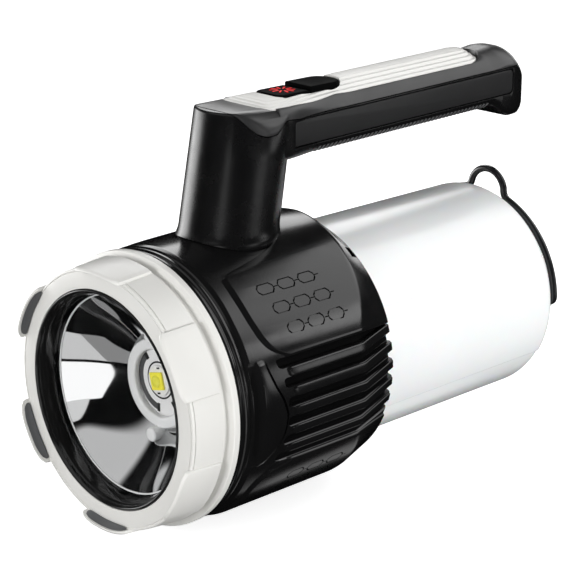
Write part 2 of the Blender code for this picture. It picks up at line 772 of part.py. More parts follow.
def body_outline():
    outline = [
        (NOSE_FRONT, NOSE_RADIUS - NOSE_WALL),
        (NOSE_FRONT, NOSE_RADIUS),
        (THREAD_FRONT + CLEARANCE, NOSE_RADIUS),
        (THREAD_FRONT + CLEARANCE, THREAD_RADIUS),
        (BODY_FRONT, THREAD_RADIUS),
    ]
    y = BODY_FRONT
    for _ in range(BODY_RING_COUNT):
        outline.append((y, BODY_RING_RADIUS - BODY_RING_DEPTH))
        outline.append((y + BODY_RING_WIDTH / 4, BODY_RING_RADIUS))
        outline.append((y + BODY_RING_WIDTH * 3 / 4, BODY_RING_RADIUS))
        outline.append((y + BODY_RING_WIDTH, BODY_RING_RADIUS - BODY_RING_DEPTH))
        y += BODY_RING_WIDTH + BODY_RING_DEPTH
    outline += [
        (y, BODY_RING_RADIUS),
        (SHOULDER_START, FRAME_RADIUS),
        (TAPER_START, FRAME_RADIUS),
        (BODY_REAR - RIM_CHAMFER, surface_radius(BODY_REAR - RIM_CHAMFER)),
        (BODY_REAR, RIM_RADIUS - RIM_CHAMFER),
        (BODY_REAR, DIFFUSER_RADIUS + CLEARANCE),
        (LIP_FRONT, DIFFUSER_RADIUS + CLEARANCE),
        (LIP_FRONT, BODY_BORE),
        (BORE_FRONT, BODY_BORE),
        (BORE_FRONT, THREAD_RADIUS - COLLAR_WALL),
        (THREAD_FRONT + CLEARANCE + COLLAR_WALL, THREAD_RADIUS - COLLAR_WALL),
        (NOSE_FRONT + COLLAR_WALL, NOSE_RADIUS - NOSE_WALL),
    ]
    return outline


# A raised panel is swept over its own angles and mirrored to the far side of the drum.
def raised_panel(rows, bm):
    low = FRAME_RADIUS - PANEL_ROOT
    end = BODY_REAR - RIM_LAND
    rim = surface_radius(end) + RIM_LAND
    first = rows[0]
    edge = PANEL_EDGE_ANGLE if first[0] < rows[-1][0] else -PANEL_EDGE_ANGLE
    stations = [(first[0] - edge, first[1], first[2], low + PANEL_ROOT / 2)]
    stations += [(angle, front, slope, BODY_RADIUS) for angle, front, slope in rows]
    stations += [(180 - angle, front, slope, top) for angle, front, slope, top in stations[-2::-1]]
    rings = []
    for angle, front_share, slope_share, top in stations:
        front = PANEL_FRONT + PANEL_REACH * front_share
        slope = TAPER_START + PANEL_SLOPE_REACH * slope_share
        drop = BODY_RADIUS - top
        outline = [
            (front - PANEL_WALL, low),
            (front - PANEL_WALL, low + PANEL_ROOT / 3),
            (front, top),
            (slope, top),
            (end, rim - drop / 2),
            (end, surface_radius(end) - PANEL_ROOT),
            (slope, surface_radius(slope) - PANEL_ROOT),
        ]
        rings.append([drum_point(y, angle, radius) for y, radius in outline])
    return lofted(rings, bm)


# The leaf has a sloped wall at the front and bows back towards the ribs.
def leaf(side, bm):
    rings = []
    low = FRAME_RADIUS - PANEL_ROOT
    for index, (angle, reach_share) in enumerate(LEAF_SHARES):
        rise = -LEAF_RISE if index in (0, len(LEAF_SHARES) - 1) else LEAF_RISE
        rear = LEAF_START + LEAF_BOW * reach_share
        top = FRAME_RADIUS - LEAF_RISE / 6 + rise
        outline = [
            (LEAF_START, low),
            (LEAF_START, min(FRAME_RADIUS - LEAF_RISE / 3, top - LEAF_RISE / 6)),
            (LEAF_START + LEAF_WALL, top),
            (rear, top),
            (rear, low),
        ]
        turn = angle if side > 0 else 180 - angle
        rings.append([drum_point(y, turn, radius) for y, radius in outline])
    return lofted(rings, bm)


def rib_front(angle):
    spread = RIB_PITCH * RIB_GAP_COUNT / 2
    return RIB_FRONT + RIB_FRONT_BOW * (1 - ((angle - RIB_MIDDLE_ANGLE) / spread) ** 2)


# How far the ribs and the gaps between them have swept upwards at a place near the rim.
def rib_sweep(y):
    bend = (RIB_BEND + BODY_REAR) / 2
    if y < bend:
        return RIB_SWEEP / 2 * (y - RIB_BEND) / (bend - RIB_BEND)
    return RIB_SWEEP / 2 * (1 + (y - bend) / (BODY_REAR + OVERRUN - bend))


def rib_gap_paths():
    paths = []
    clear = BODY_RADIUS + OVERRUN
    half = RIB_GAP_HALF_WIDTH
    low = FRAME_RADIUS - RIB_GAP_DEPTH
    bend = (RIB_BEND + BODY_REAR) / 2
    end = BODY_REAR + OVERRUN
    rim_low = RIM_RADIUS - RIM_CUT_DEPTH
    for index in range(RIB_GAP_COUNT):
        angle = RIB_MIDDLE_ANGLE + RIB_PITCH * ((RIB_GAP_COUNT - 1) / 2 - index)
        front = rib_front(angle)
        paths.append([
            (front, angle, half * 0.5, low + RIB_GAP_DEPTH / 2, clear),
            (front + half, angle, half, low, clear),
            (RIB_BEND, angle, half, low, clear),
            (bend, angle + rib_sweep(bend), half * 1.2, (low + rim_low) / 2, clear),
            (end, angle + rib_sweep(end), half * 1.2, rim_low, clear),
        ])
    return paths


def rib_paths():
    paths = []
    half = RIB_HALF_WIDTH
    bend = (RIB_BEND + BODY_REAR) / 2
    end = BODY_REAR - RIM_LAND
    for index in range(RIB_GAP_COUNT - 1):
        angle = RIB_MIDDLE_ANGLE + RIB_PITCH * ((RIB_GAP_COUNT - 2) / 2 - index)
        front = rib_front(angle) + RIB_SET_BACK
        stations = (
            (front, angle, half * 0.7, -RIB_RISE),
            (front + half, angle, half, RIB_RISE),
            (RIB_BEND, angle, half, RIB_RISE),
            (bend, angle + rib_sweep(bend), half, RIB_RISE),
            (end, angle + rib_sweep(end), half * 0.9, RIB_RISE / 2),
        )
        paths.append([(y, turn, wide, surface_radius(y) - PANEL_ROOT,
                       surface_radius(y) + rise) for y, turn, wide, rise in stations])
    return paths


def make_body(root):
    look = material("body_black", (0.014, 0.014, 0.015), 0.3)
    drum = turned(body_outline(), FINE_STEPS, 360 / FINE_STEPS / 2)
    body = make_object("body_shell", drum, look, root)
    panels = (("crown_panel", raised_panel, CROWN_SHARES), ("belly_panel", raised_panel, BELLY_SHARES),
              ("leaf_right", leaf, 1), ("leaf_left", leaf, -1))
    for name, shape, rows in panels:
        combine(body, make_object(name, shape(rows, bmesh.new()), None, root), "UNION")
    cuts = bmesh.new()
    for path in rib_gap_paths():
        ribbon(path, cuts)
        ribbon(mirrored(path), cuts)
    combine(body, make_object("rib_gaps", cuts, None, root), "DIFFERENCE")
    ribs = bmesh.new()
    for path in rib_paths():
        ribbon(path, ribs)
        ribbon(mirrored(path), ribs)
    combine(body, make_object("ribs_raised", ribs, None, root), "UNION")
    foot = block((-FOOT_HALF_WIDTH, FOOT_START, -AXIS_HEIGHT),
                 (FOOT_HALF_WIDTH, FOOT_END, -AXIS_HEIGHT + FOOT_ROOT))
    return combine(body, make_object("body_foot", foot, None, root), "UNION")


# Power inside the body

def make_power(root):
    plate_look = material("battery_plate", (0.05, 0.05, 0.06), 0.6)
    cell_look = material("battery_wrap", (0.06, 0.22, 0.50), 0.4)
    board_look = material("driver_board_green", (0.04, 0.22, 0.10), 0.5)
    plates = (("battery_plate_front", FRONT_PLATE_Y, BODY_BORE - CLEARANCE),
              ("battery_plate_rear", REAR_PLATE_Y, DIFFUSER_RADIUS - DIFFUSER_WALL - CLEARANCE))
    for name, y, radius in plates:
        outline = [(y, 0), (y, radius), (y + PLATE_THICKNESS, radius), (y + PLATE_THICKNESS, 0)]
        make_object(name, turned(outline, SMALL_STEPS), plate_look.copy(), root)
    ring_radius = (CELL_RADIUS + CELL_SPACING / 2) / math.sin(math.pi / CELL_COUNT)
    for index in range(CELL_COUNT):
        turn = math.tau * index / CELL_COUNT - math.pi / 2
        shift = Vector((ring_radius * math.cos(turn), 0, ring_radius * math.sin(turn)))
        end = CELL_START + CELL_LENGTH
        outline = [
            (CELL_START, 0),
            (CELL_START, CELL_RADIUS - CELL_CHAMFER),
            (CELL_START + CELL_CHAMFER, CELL_RADIUS),
            (end - CELL_CHAMFER, CELL_RADIUS),
            (end, CELL_RADIUS - CELL_CHAMFER),
            (end, 0),
        ]
        bm = turned(outline, CELL_STEPS)
        bmesh.ops.translate(bm, verts=bm.verts, vec=shift)
        make_object("battery_cell_%d" % (index + 1), bm, cell_look.copy(), root)
    top = ring_radius * math.sin(math.pi / 6) + CELL_RADIUS + CLEARANCE
    bm = block((-DRIVER_HALF_WIDTH, CELL_START, top),
               (DRIVER_HALF_WIDTH, CELL_START + DRIVER_LENGTH, top + DRIVER_THICKNESS))
    make_object("driver_board", bm, board_look, root)


# Lantern tail

def make_diffuser(root):
    look = material("diffuser_white", (0.92, 0.92, 0.92), 0.25, transmission=0.15)
    inner = DIFFUSER_RADIUS - DIFFUSER_WALL
    inner_end = DIFFUSER_END - DIFFUSER_WALL
    flange = BODY_BORE - CLEARANCE
    outline = [
        (inner_end, 0),
        (inner_end, inner - DIFFUSER_FILLET / 2),
        (inner_end - DIFFUSER_FILLET / 2, inner),
        (DIFFUSER_FRONT, inner),
        (DIFFUSER_FRONT, flange),
        (DIFFUSER_FLANGE_REAR, flange),
        (DIFFUSER_FLANGE_REAR, DIFFUSER_RADIUS),
    ]
    for step in range(5):
        turn = math.radians(90 * step / 4)
        y = DIFFUSER_END - DIFFUSER_FILLET + DIFFUSER_FILLET * math.sin(turn)
        outline.append((y, DIFFUSER_RADIUS - DIFFUSER_FILLET + DIFFUSER_FILLET * math.cos(turn)))
    outline.append((DIFFUSER_END, 0))
    diffuser = make_object("diffuser", turned(outline, ROUND_STEPS), look, root)
    ears = bmesh.new()
    holes = bmesh.new()
    ear_outer = BAIL_RADIUS - PIN_BEND - CLEARANCE
    ear_inner = ear_outer - PIN_LENGTH
    for side in (1, -1):
        near, far = sorted((side * ear_inner, side * ear_outer))
        block((near, DIFFUSER_END - EAR_ROOT, -EAR_HALF_HEIGHT),
              (far, BAIL_Y + WIRE_RADIUS + CLEARANCE + EAR_CAP, EAR_HALF_HEIGHT), ears)
        rings = []
        for x in (near - EAR_ROOT, far + EAR_ROOT):
            ring = []
            for step in range(WIRE_SIDES + 2):
                turn = math.tau * (step + 0.5) / (WIRE_SIDES + 2)
                radius = WIRE_RADIUS + CLEARANCE
                ring.append((x, BAIL_Y + radius * math.cos(turn), radius * math.sin(turn)))
            rings.append(ring)
        lofted(rings, holes)
    combine(diffuser, make_object("bail_ears", ears, None, root), "UNION")
    combine(diffuser, make_object("bail_ear_holes", holes, None, root), "DIFFERENCE")
    return diffuser


def make_lantern_board(root):
    look = material("lantern_board_white", (0.88, 0.88, 0.88), 0.45)
    rear = LANTERN_BOARD_Y + LANTERN_BOARD_THICKNESS
    outline = [
        (LANTERN_BOARD_Y, 0),
        (LANTERN_BOARD_Y, LANTERN_BOARD_RADIUS),
        (rear, LANTERN_BOARD_RADIUS),
        (rear, 0),
    ]
    make_object("lantern_board", turned(outline, SMALL_STEPS), look, root)


# Bail: its wire runs from a pin up the arc, round the loop and down to the other pin.
# The path lies in the plane y = BAIL_Y and is given as (x, z).

def arc_spot(angle):
    turn = math.radians(angle)
    return Vector((BAIL_RADIUS * math.cos(turn), BAIL_RADIUS * math.sin(turn)))


def loop_spot(angle):
    turn = math.radians(LOOP_ANGLE + angle)
    out = Vector((math.cos(turn), math.sin(turn)))
    return arc_spot(LOOP_ANGLE) + out * LOOP_RADIUS


def corner_run(start, bend, end, steps):
    spots = []
    for step in range(1, steps):
        share = step / steps
        spots.append(start * (1 - share) ** 2 + bend * 2 * share * (1 - share) + end * share ** 2)
    return spots


def bail_path():
    half_turn = 2 * math.degrees(math.asin(LOOP_RADIUS / BAIL_RADIUS / 2))
    meet = 90 + half_turn / 2
    near = LOOP_ANGLE - half_turn
    far = LOOP_ANGLE + half_turn
    reach = PIN_BEND + PIN_LENGTH
    path = [Vector((BAIL_RADIUS - reach, 0)), Vector((BAIL_RADIUS - PIN_BEND, 0))]
    path += corner_run(path[-1], arc_spot(0), arc_spot(CORNER_ANGLE), 4)
    first = [CORNER_ANGLE + (near - 2 * CORNER_ANGLE) * step / 9 for step in range(10)]
    path += [arc_spot(angle) for angle in first]
    bend_end = loop_spot(-meet + LOOP_CORNER_ANGLE)
    path += corner_run(path[-1], arc_spot(near), bend_end, 5)
    span = 2 * (meet - LOOP_CORNER_ANGLE)
    round_loop = [-meet + LOOP_CORNER_ANGLE + span * step / 12 for step in range(13)]
    path += [loop_spot(angle) for angle in round_loop]
    resume = arc_spot(far + CORNER_ANGLE)
    path += corner_run(path[-1], arc_spot(far), resume, 5)
    rest = 180 - CORNER_ANGLE - far - CORNER_ANGLE
    path += [arc_spot(far + CORNER_ANGLE + rest * step / 9) for step in range(10)]
    last = Vector((-(BAIL_RADIUS - PIN_BEND), 0))
    path += corner_run(path[-1], arc_spot(180), last, 4)
    path += [last, Vector((-(BAIL_RADIUS - reach), 0))]
    return path


def make_bail(root):
    look = material("bail_black", (0.015, 0.015, 0.016), 0.28)
    path = bail_path()
    rings = []
    for index, spot in enumerate(path):
        before = spot - path[index - 1] if index else path[1] - spot
        after = path[index + 1] - spot if index < len(path) - 1 else before
        before = before.normalized()
        after = after.normalized()
        along = (before + after).normalized()
        stretch = 1 / max(along.dot(after), 0.5)
        side = Vector((along.y, -along.x))
        ring = []
        for step in range(WIRE_SIDES):
            turn = math.tau * (step + 0.5) / WIRE_SIDES
            out = spot + side * (WIRE_RADIUS * stretch * math.cos(turn))
            ring.append((out.x, BAIL_Y + WIRE_RADIUS * math.sin(turn), out.y))
        rings.append(ring)
    return make_object("bail", lofted(rings), look, root, (0, BAIL_Y, 0))


# Handle

def neck_middle(z):
    return NECK_FOOT_Y + (z - NECK_FOOT_Z) * math.tan(math.radians(NECK_LEAN))


# The neck is oval and narrows slightly towards the grip.
def neck_loop(z, grow):
    climb = max(0, z - NECK_FOOT_Z) / (NECK_TOP_Z - NECK_FOOT_Z)
    scale = 1 + (NECK_TAPER_SHARE - 1) * climb
    loop = []
    for step in range(NECK_STEPS):
        turn = math.tau * (step + 0.5) / NECK_STEPS
        x = (NECK_HALF_WIDTH * scale + grow) * math.cos(turn)
        y = neck_middle(z) + (NECK_HALF_LENGTH * scale + grow) * math.sin(turn)
        loop.append((x, y, z))
    return loop


def dome_height(x):
    share = min(1, max(0, (abs(x) - DOME_FLAT) / DOME_RUN))
    return NECK_TOP_Z - DOME_DROP * (1 - math.sqrt(1 - share * share))


def neck_mesh():
    rings = [
        neck_loop(NECK_FOOT_Z - NECK_ROOT, NECK_FLARE),
        neck_loop(NECK_FOOT_Z + NECK_FLARE * 2, NECK_FLARE),
        neck_loop(NECK_FOOT_Z + NECK_FLARE_TOP, NECK_FLARE / 4),
        neck_loop(NECK_FOOT_Z + NECK_FLARE_TOP * 2, 0),
    ]
    for inset, drop in ((0, NECK_EDGE), (NECK_EDGE, 0)):
        flat = neck_loop(NECK_TOP_Z, -inset)
        ring = []
        for x, y, z in flat:
            height = dome_height(x) - drop
            ring.append((x, y + neck_middle(height) - neck_middle(z), height))
        rings.append(ring)
    return strip_capped(rings)


# The top of the grip is squarer beside the neck and rounder along the rest.
SQUARE_SHARES = ((0, 1), (0.01, 0.70), (0.05, 0.42), (0.13, 0.19), (0.30, 0.05), (1, 0))
ROUND_SHARES = ((0, 1), (0.08, 0.76), (0.22, 0.52), (0.45, 0.26), (0.75, 0.06), (1, 0))


def rounding(y):
    return min(1, max(0, (y - ROUNDING_START) / (ROUNDING_END - ROUNDING_START)))


def grip_loop(y, half, bottom, top, run_share=1):
    run = SHOULDER_RUN * run_share
    blend = rounding(y)
    drop = SHOULDER_DROP + SHOULDER_ROUNDING * blend
    right = [
        (half - GRIP_LOWER_EDGE, bottom),
        (half - GRIP_LOWER_EDGE / 5, bottom + GRIP_LOWER_RISE / 3),
        (half, bottom + GRIP_LOWER_RISE),
    ]
    for square, rounded in zip(SQUARE_SHARES, ROUND_SHARES):
        inward = square[0] + (rounded[0] - square[0]) * blend
        down = square[1] + (rounded[1] - square[1]) * blend
        right.append((half - run * inward, top - drop * down))
    left = [(-x, z) for x, z in reversed(right)]
    return [(x, y, z + lift(y)) for x, z in right + left]


# Stations along the grip's end: how far back, how wide, how deep the finger stop hangs, how
# far the top has dropped and how far its rounding runs, each as a share of its own size.
GRIP_STATION_SHARES = (
    (0.00, 1.00, 0.00, -0.14, 1.00),
    (0.19, 1.00, 0.29, -0.17, 1.00),
    (0.37, 1.00, 0.74, -0.20, 1.00),
    (0.58, 0.99, 1.00, -0.16, 1.00),
    (0.77, 0.96, 1.00, 0.00, 0.98),
    (0.90, 0.90, 0.82, 0.25, 0.92),
    (0.97, 0.82, 0.52, 0.58, 0.84),
    (1.00, 0.70, 0.05, 0.95, 0.72),
)


def grip_mesh():
    stop_start = GRIP_END - STOP_LENGTH
    rings = []
    for y in (GRIP_START - GRIP_ROOT, GRIP_START, ROUNDING_START, ROUNDING_END):
        top = GRIP_TOP + CREST_RISE * rounding(y)
        rings.append(grip_loop(y, GRIP_HALF_WIDTH, GRIP_BOTTOM, top))
    for along, width, hang, fall, run in GRIP_STATION_SHARES:
        rings.append(grip_loop(stop_start + STOP_LENGTH * along, GRIP_HALF_WIDTH * width,
                               GRIP_BOTTOM - STOP_DROP * hang, GRIP_TOP - CROWN_DROP * fall, run))
    return lofted(rings)


# The seam between frame and cover starts at the top of the neck's front, sweeps down and
# back round its sides, then runs along the grip.
SEAM_SHARES = (
    (1.00, 1.00),
    (0.885, 0.74),
    (0.83, 0.57),
    (0.78, 0.345),
    (0.71, 0.00),
    (0.62, -0.275),
    (0.515, -0.38),
    (0.405, -0.355),
    (0.31, -0.13),
    (0.22, 0.085),
    (0.12, 0.06),
    (0.00, 0.00),
)


def seam_spots(offset):
    spots = []
    for along, height in SEAM_SHARES:
        spots.append((GRIP_START - SEAM_RUN * along, SEAM_HEIGHT + SEAM_RISE * height + offset))
    end = GRIP_END + OVERRUN
    spots.append((end, SEAM_HEIGHT + lift(end) + offset))
    return spots


def slice_mesh(offset, far_z):
    reach = NECK_HALF_WIDTH + OVERRUN
    spots = seam_spots(offset)
    first = neck_middle(NECK_FOOT_Z) - NECK_HALF_LENGTH - OVERRUN
    outline = [(first, spots[0][1])] + spots + [(spots[-1][0], far_z), (first, far_z)]
    rings = [[(x, y, z) for y, z in outline] for x in (-reach, reach)]
    return lofted(rings)


def panel_outline(grow):
    top = SEAM_HEIGHT - SIDE_PANEL_MARGIN + grow
    bottom = SIDE_PANEL_BOTTOM - grow
    front = SIDE_PANEL_START - grow
    end = SIDE_PANEL_END + grow
    corner = SIDE_PANEL_CORNER
    flat = [
        (front, bottom),
        (end - corner, bottom),
        (end, bottom + corner),
        (end, top - corner),
        (end - corner, top),
        (front + corner / 2, top),
        (front, top - corner / 2),
    ]
    return [(y, z + lift(y)) for y, z in flat]


def make_handle_frame(root):
    look = material("neck_gloss", (0.012, 0.012, 0.012), 0.16)
    frame = make_object("handle_frame", neck_mesh(), look, root)
    combine(frame, make_object("grip_beam", grip_mesh(), None, root), "UNION")
    above = slice_mesh(0, NECK_TOP_Z + OVERRUN * 3)
    combine(frame, make_object("frame_slice", above, None, root), "DIFFERENCE")

    drum = [
        (0, 0),
        (0, FRAME_RADIUS + CLEARANCE),
        (BODY_REAR + OVERRUN, FRAME_RADIUS + CLEARANCE),
        (BODY_REAR + OVERRUN, 0),
    ]
    combine(frame, make_object("frame_saddle", turned(drum, FINE_STEPS), None, root), "DIFFERENCE")
    low = NECK_FOOT_Z - NECK_ROOT - OVERRUN
    cavity = lofted([neck_loop(low, -NECK_WALL), neck_loop(NECK_CAVITY_TOP, -NECK_WALL)])
    combine(frame, make_object("neck_cavity", cavity, None, root), "DIFFERENCE")

    pockets = bmesh.new()
    depth = SIDE_PANEL_THICKNESS + SIDE_PANEL_INSET + CLEARANCE
    for side in (1, -1):
        inner = side * (GRIP_HALF_WIDTH - depth)
        outer = side * (GRIP_HALF_WIDTH + OVERRUN)
        outline = panel_outline(CLEARANCE)
        lofted([[(x, y, z) for y, z in outline] for x in (inner, outer)], pockets)
    combine(frame, make_object("panel_pockets", pockets, None, root), "DIFFERENCE")

    hollows = bmesh.new()
    ceiling = SEAM_HEIGHT + lift(GRIP_END) + OVERRUN
    half = BOARD_HALF_WIDTH + CLEARANCE
    block((-half, BOARD_START - CLEARANCE, BOARD_FLOOR), (half, BOARD_END + OVERRUN, ceiling), hollows)
    combine(frame, make_object("board_pocket", hollows, None, root), "DIFFERENCE")
    tray = block((-TRAY_HALF_WIDTH, BOARD_END + CLEARANCE, TRAY_FLOOR),
                 (TRAY_HALF_WIDTH, TRAY_END, ceiling + CLEARANCE))
    combine(frame, make_object("frame_tray", tray, None, root), "DIFFERENCE")

    loops = []
    for z in (GRIP_BOTTOM - OVERRUN, GRIP_BOTTOM + PAD_POCKET):
        loops.append(lifted(pad_plan(CLEARANCE, z)))
    combine(frame, make_object("pad_pocket", lofted(loops), None, root), "DIFFERENCE")

    port = block((-NECK_HALF_WIDTH - OVERRUN, PORT_Y - PORT_HALF_WIDTH, PORT_BOTTOM),
                 (-NECK_HALF_WIDTH + PORT_DEPTH, PORT_Y + PORT_HALF_WIDTH, PORT_BOTTOM + PORT_HEIGHT))
    combine(frame, make_object("port_recess", port, None, root), "DIFFERENCE")
    middle = PORT_BOTTOM + PORT_HEIGHT / 2
    half_y = SOCKET_HALF_WIDTH + CLEARANCE
    half_z = SOCKET_HALF_HEIGHT + CLEARANCE
    hole = block((-NECK_HALF_WIDTH, PORT_Y - half_y, middle - half_z),
                 (-NECK_HALF_WIDTH + NECK_WALL + OVERRUN, PORT_Y + half_y, middle + half_z))
    combine(frame, make_object("socket_hole", hole, None, root), "DIFFERENCE")
    return frame


def pad_plan(grow, z):
    half = PAD_HALF_WIDTH + grow
    start = PAD_START - grow
    end = PAD_END + grow
    return [(half, start, z), (half, end, z), (-half, end, z), (-half, start, z)]


# The insert's outline: a straight front with round corners, a wide head that narrows to the
# long waist, and a round end. Points run from the front's right corner to the rear and back.
def insert_loop(inset, height, settle=INSERT_SETTLE):
    head = INSERT_HEAD_HALF_WIDTH - inset
    waist = INSERT_HALF_WIDTH - inset
    corner = max(INSERT_CORNER - inset, INSERT_CORNER / 4)
    start = INSERT_START + inset
    end = INSERT_END - inset
    right = []
    for step in range(4):
        turn = math.radians(90 * step / 3)
        right.append((head - corner + corner * math.sin(turn), start + corner - corner * math.cos(turn)))
    right.append((head, INSERT_HEAD_END))
    right.append(((head + waist) / 2, (INSERT_HEAD_END + INSERT_WAIST) / 2))
    right.append((waist, INSERT_WAIST))
    for step in range(6):
        turn = math.radians(90 * (step + 0.5) / 6)
        right.append((waist * math.cos(turn), end - waist + waist * math.sin(turn)))
    left = [(-x, y) for x, y in reversed(right)]
    return lifted([(x, y, height - settle * rounding(y)) for x, y in right + left])


def button_well(grow, low, high):
    middle = (BUTTON_START + BUTTON_END) / 2
    half_length = (BUTTON_END - BUTTON_START) / 2 + grow
    half_width = BUTTON_HALF_WIDTH + grow
    loops = []
    for z in (low, high):
        loops.append(plan_loop(middle, half_width, half_length, BUTTON_END_CORNER + grow, z,
                               BUTTON_CORNER + grow))
    return lofted(loops)


def make_handle_cover(root):
    look = material("cover_satin", (0.035, 0.035, 0.036), 0.38)
    cover = make_object("handle_cover", neck_mesh(), look, root)
    combine(cover, make_object("cover_beam", grip_mesh(), None, root), "UNION")
    below = slice_mesh(SEAM_GAP, GRIP_BOTTOM - STOP_DROP - OVERRUN - NECK_ROOT * 5)
    combine(cover, make_object("cover_slice", below, None, root), "DIFFERENCE")
    recess = strip_capped([insert_loop(-CLEARANCE, INSERT_FLOOR),
                           insert_loop(-CLEARANCE, GRIP_TOP + OVERRUN)])
    combine(cover, make_object("insert_recess", recess, None, root), "DIFFERENCE")
    well = button_well(RUNNING_GAP, BOARD_FLOOR - OVERRUN, GRIP_TOP + OVERRUN * 2)
    combine(cover, make_object("cover_well", well, None, root), "DIFFERENCE")
    return cover


def make_side_panels(root):
    look = material("side_panel_matte", (0.020, 0.020, 0.021), 0.5)
    for name, side in (("side_panel_right", 1), ("side_panel_left", -1)):
        outer = side * (GRIP_HALF_WIDTH - SIDE_PANEL_INSET)
        inner = outer - side * SIDE_PANEL_THICKNESS
        outline = panel_outline(0)
        bm = lofted([[(x, y, z) for y, z in outline] for x in (inner, outer)])
        make_object(name, bm, look.copy(), root)


def make_grip_pad(root):
    look = material("grip_rubber", (0.022, 0.022, 0.023), 0.7)
    top = GRIP_BOTTOM + PAD_POCKET - CLEARANCE
    count = int((PAD_END - PAD_START) / PAD_RIB_PITCH)
    pitch = (PAD_END - PAD_START) / count
    low = GRIP_BOTTOM - PAD_PROUD
    outline = [(PAD_END, top), (PAD_START, top)]
    for index in range(count):
        start = PAD_START + pitch * index
        outline.append((start, low + PAD_RIB_HEIGHT))
        outline.append((start + pitch * 0.25, low))
        outline.append((start + pitch * 0.65, low))
        outline.append((start + pitch * 0.90, low + PAD_RIB_HEIGHT))
    outline.append((PAD_END, low + PAD_RIB_HEIGHT))
    outline = [(y, z + lift(y)) for y, z in outline]
    bm = lofted([[(x, y, z) for y, z in outline] for x in (-PAD_HALF_WIDTH, PAD_HALF_WIDTH)])
    make_object("grip_pad", bm, look, root)


def make_insert(root):
    look = material("insert_white", (0.85, 0.85, 0.83), 0.35)
    low = INSERT_FLOOR + CLEARANCE
    loops = [insert_loop(0, low), insert_loop(0, INSERT_EDGE)]
    for inset, rise in zip(INSERT_STEP_INSETS, INSERT_STEP_RISES):
        crest = INSERT_SETTLE - rise * INSERT_CREST_SHARE
        loops.append(insert_loop(inset, INSERT_EDGE + rise, crest))
    insert = make_object("grip_insert", strip_capped(loops), look, root)
    well = button_well(RUNNING_GAP, low - OVERRUN, GRIP_TOP + OVERRUN * 2)
    return combine(insert, make_object("insert_well", well, None, root), "DIFFERENCE")


def make_buttons(root):
    look = material("button_black", (0.015, 0.015, 0.016), 0.3)
    half = BUTTON_HALF_WIDTH
    pieces = (("button_front", BUTTON_START, BUTTON_STEP - BUTTON_SPLIT / 2, FRONT_BUTTON_PROUD,
               BUTTON_CORNER, BUTTON_CORNER / 4),
              ("button_rear", BUTTON_STEP + BUTTON_SPLIT / 2, BUTTON_END, REAR_BUTTON_PROUD,
               BUTTON_CORNER / 4, BUTTON_END_CORNER))
    for name, start, end, proud, front_corner, rear_corner in pieces:
        middle = (start + end) / 2
        top = GRIP_TOP + proud
        bottom = GRIP_TOP + FRONT_BUTTON_PROUD - BUTTON_HEIGHT
        loops = []
        for z, inset in ((bottom, 0), (top - BUTTON_EDGE, 0), (top, BUTTON_EDGE)):
            loops.append(plan_loop(middle, half - inset, (end - start) / 2 - inset, rear_corner, z,
                                   front_corner))
        make_object(name, lofted(loops), look.copy(), root, (0, middle, bottom))


def make_switch_board(root):
    look = material("switch_board_green", (0.05, 0.25, 0.12), 0.5)
    low = BOARD_FLOOR + CLEARANCE
    bm = block((-BOARD_HALF_WIDTH, BOARD_START, low),
               (BOARD_HALF_WIDTH, BOARD_END, low + BOARD_THICKNESS))
    board = make_object("switch_board", bm, look, root)
    switches = bmesh.new()
    top = GRIP_TOP + FRONT_BUTTON_PROUD - BUTTON_HEIGHT - SWITCH_GAP
    for start, end in ((BUTTON_START, BUTTON_STEP), (BUTTON_STEP, BUTTON_END)):
        middle = (start + end) / 2 + BUTTON_SPLIT
        block((-SWITCH_HALF_SIDE, middle - SWITCH_HALF_SIDE, low + BOARD_THICKNESS / 2),
              (SWITCH_HALF_SIDE, middle + SWITCH_HALF_SIDE, top), switches)
    return combine(board, make_object("switches", switches, None, root), "UNION")


def make_charging(root):
    shell_look = material("socket_metal", (0.55, 0.56, 0.58), 0.3, metallic=1.0)
    middle = PORT_BOTTOM + PORT_HEIGHT / 2
    front = -NECK_HALF_WIDTH + PORT_DEPTH + CLEARANCE / 2
    bm = block((front, PORT_Y - SOCKET_HALF_WIDTH, middle - SOCKET_HALF_HEIGHT),
               (front + SOCKET_LENGTH, PORT_Y + SOCKET_HALF_WIDTH, middle + SOCKET_HALF_HEIGHT))
    socket = make_object("charge_socket", bm, shell_look, root)
    half_y = SOCKET_HALF_WIDTH - SOCKET_WALL
    half_z = SOCKET_HALF_HEIGHT - SOCKET_WALL
    hollow = block((front - OVERRUN, PORT_Y - half_y, middle - half_z),
                   (front + SOCKET_HOLLOW, PORT_Y + half_y, middle + half_z))
    combine(socket, make_object("socket_hollow", hollow, None, root), "DIFFERENCE")

    cover_look = material("port_cover_rubber", (0.02, 0.02, 0.02), 0.6)
    half = PORT_HALF_WIDTH - CLEARANCE
    bottom = PORT_BOTTOM + CLEARANCE
    outside = -NECK_HALF_WIDTH + PORT_INSET
    bm = block((outside, PORT_Y - half, bottom),
               (-NECK_HALF_WIDTH + PORT_DEPTH - CLEARANCE, PORT_Y + half,
                PORT_BOTTOM + PORT_HEIGHT - CLEARANCE))
    make_object("charge_cover", bm, cover_look, root, (outside, PORT_Y, bottom))


def main():
    clear_scene()
    root = bpy.data.objects.new("searchlight", None)
    root.location = (0, -MIDDLE_Y, AXIS_HEIGHT)
    bpy.context.scene.collection.objects.link(root)
    make_bezel(root)
    make_lug_pads(root)
    make_lens_ring(root)
    make_lens(root)
    make_reflector(root)
    make_led(root)
    make_heat_sink(root)
    make_body(root)
    make_power(root)
    make_diffuser(root)
    make_lantern_board(root)
    make_bail(root)
    make_handle_frame(root)
    make_handle_cover(root)
    make_side_panels(root)
    make_grip_pad(root)
    make_insert(root)
    make_buttons(root)
    make_switch_board(root)
    make_charging(root)
    bpy.context.view_layer.update()


main()
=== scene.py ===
import math

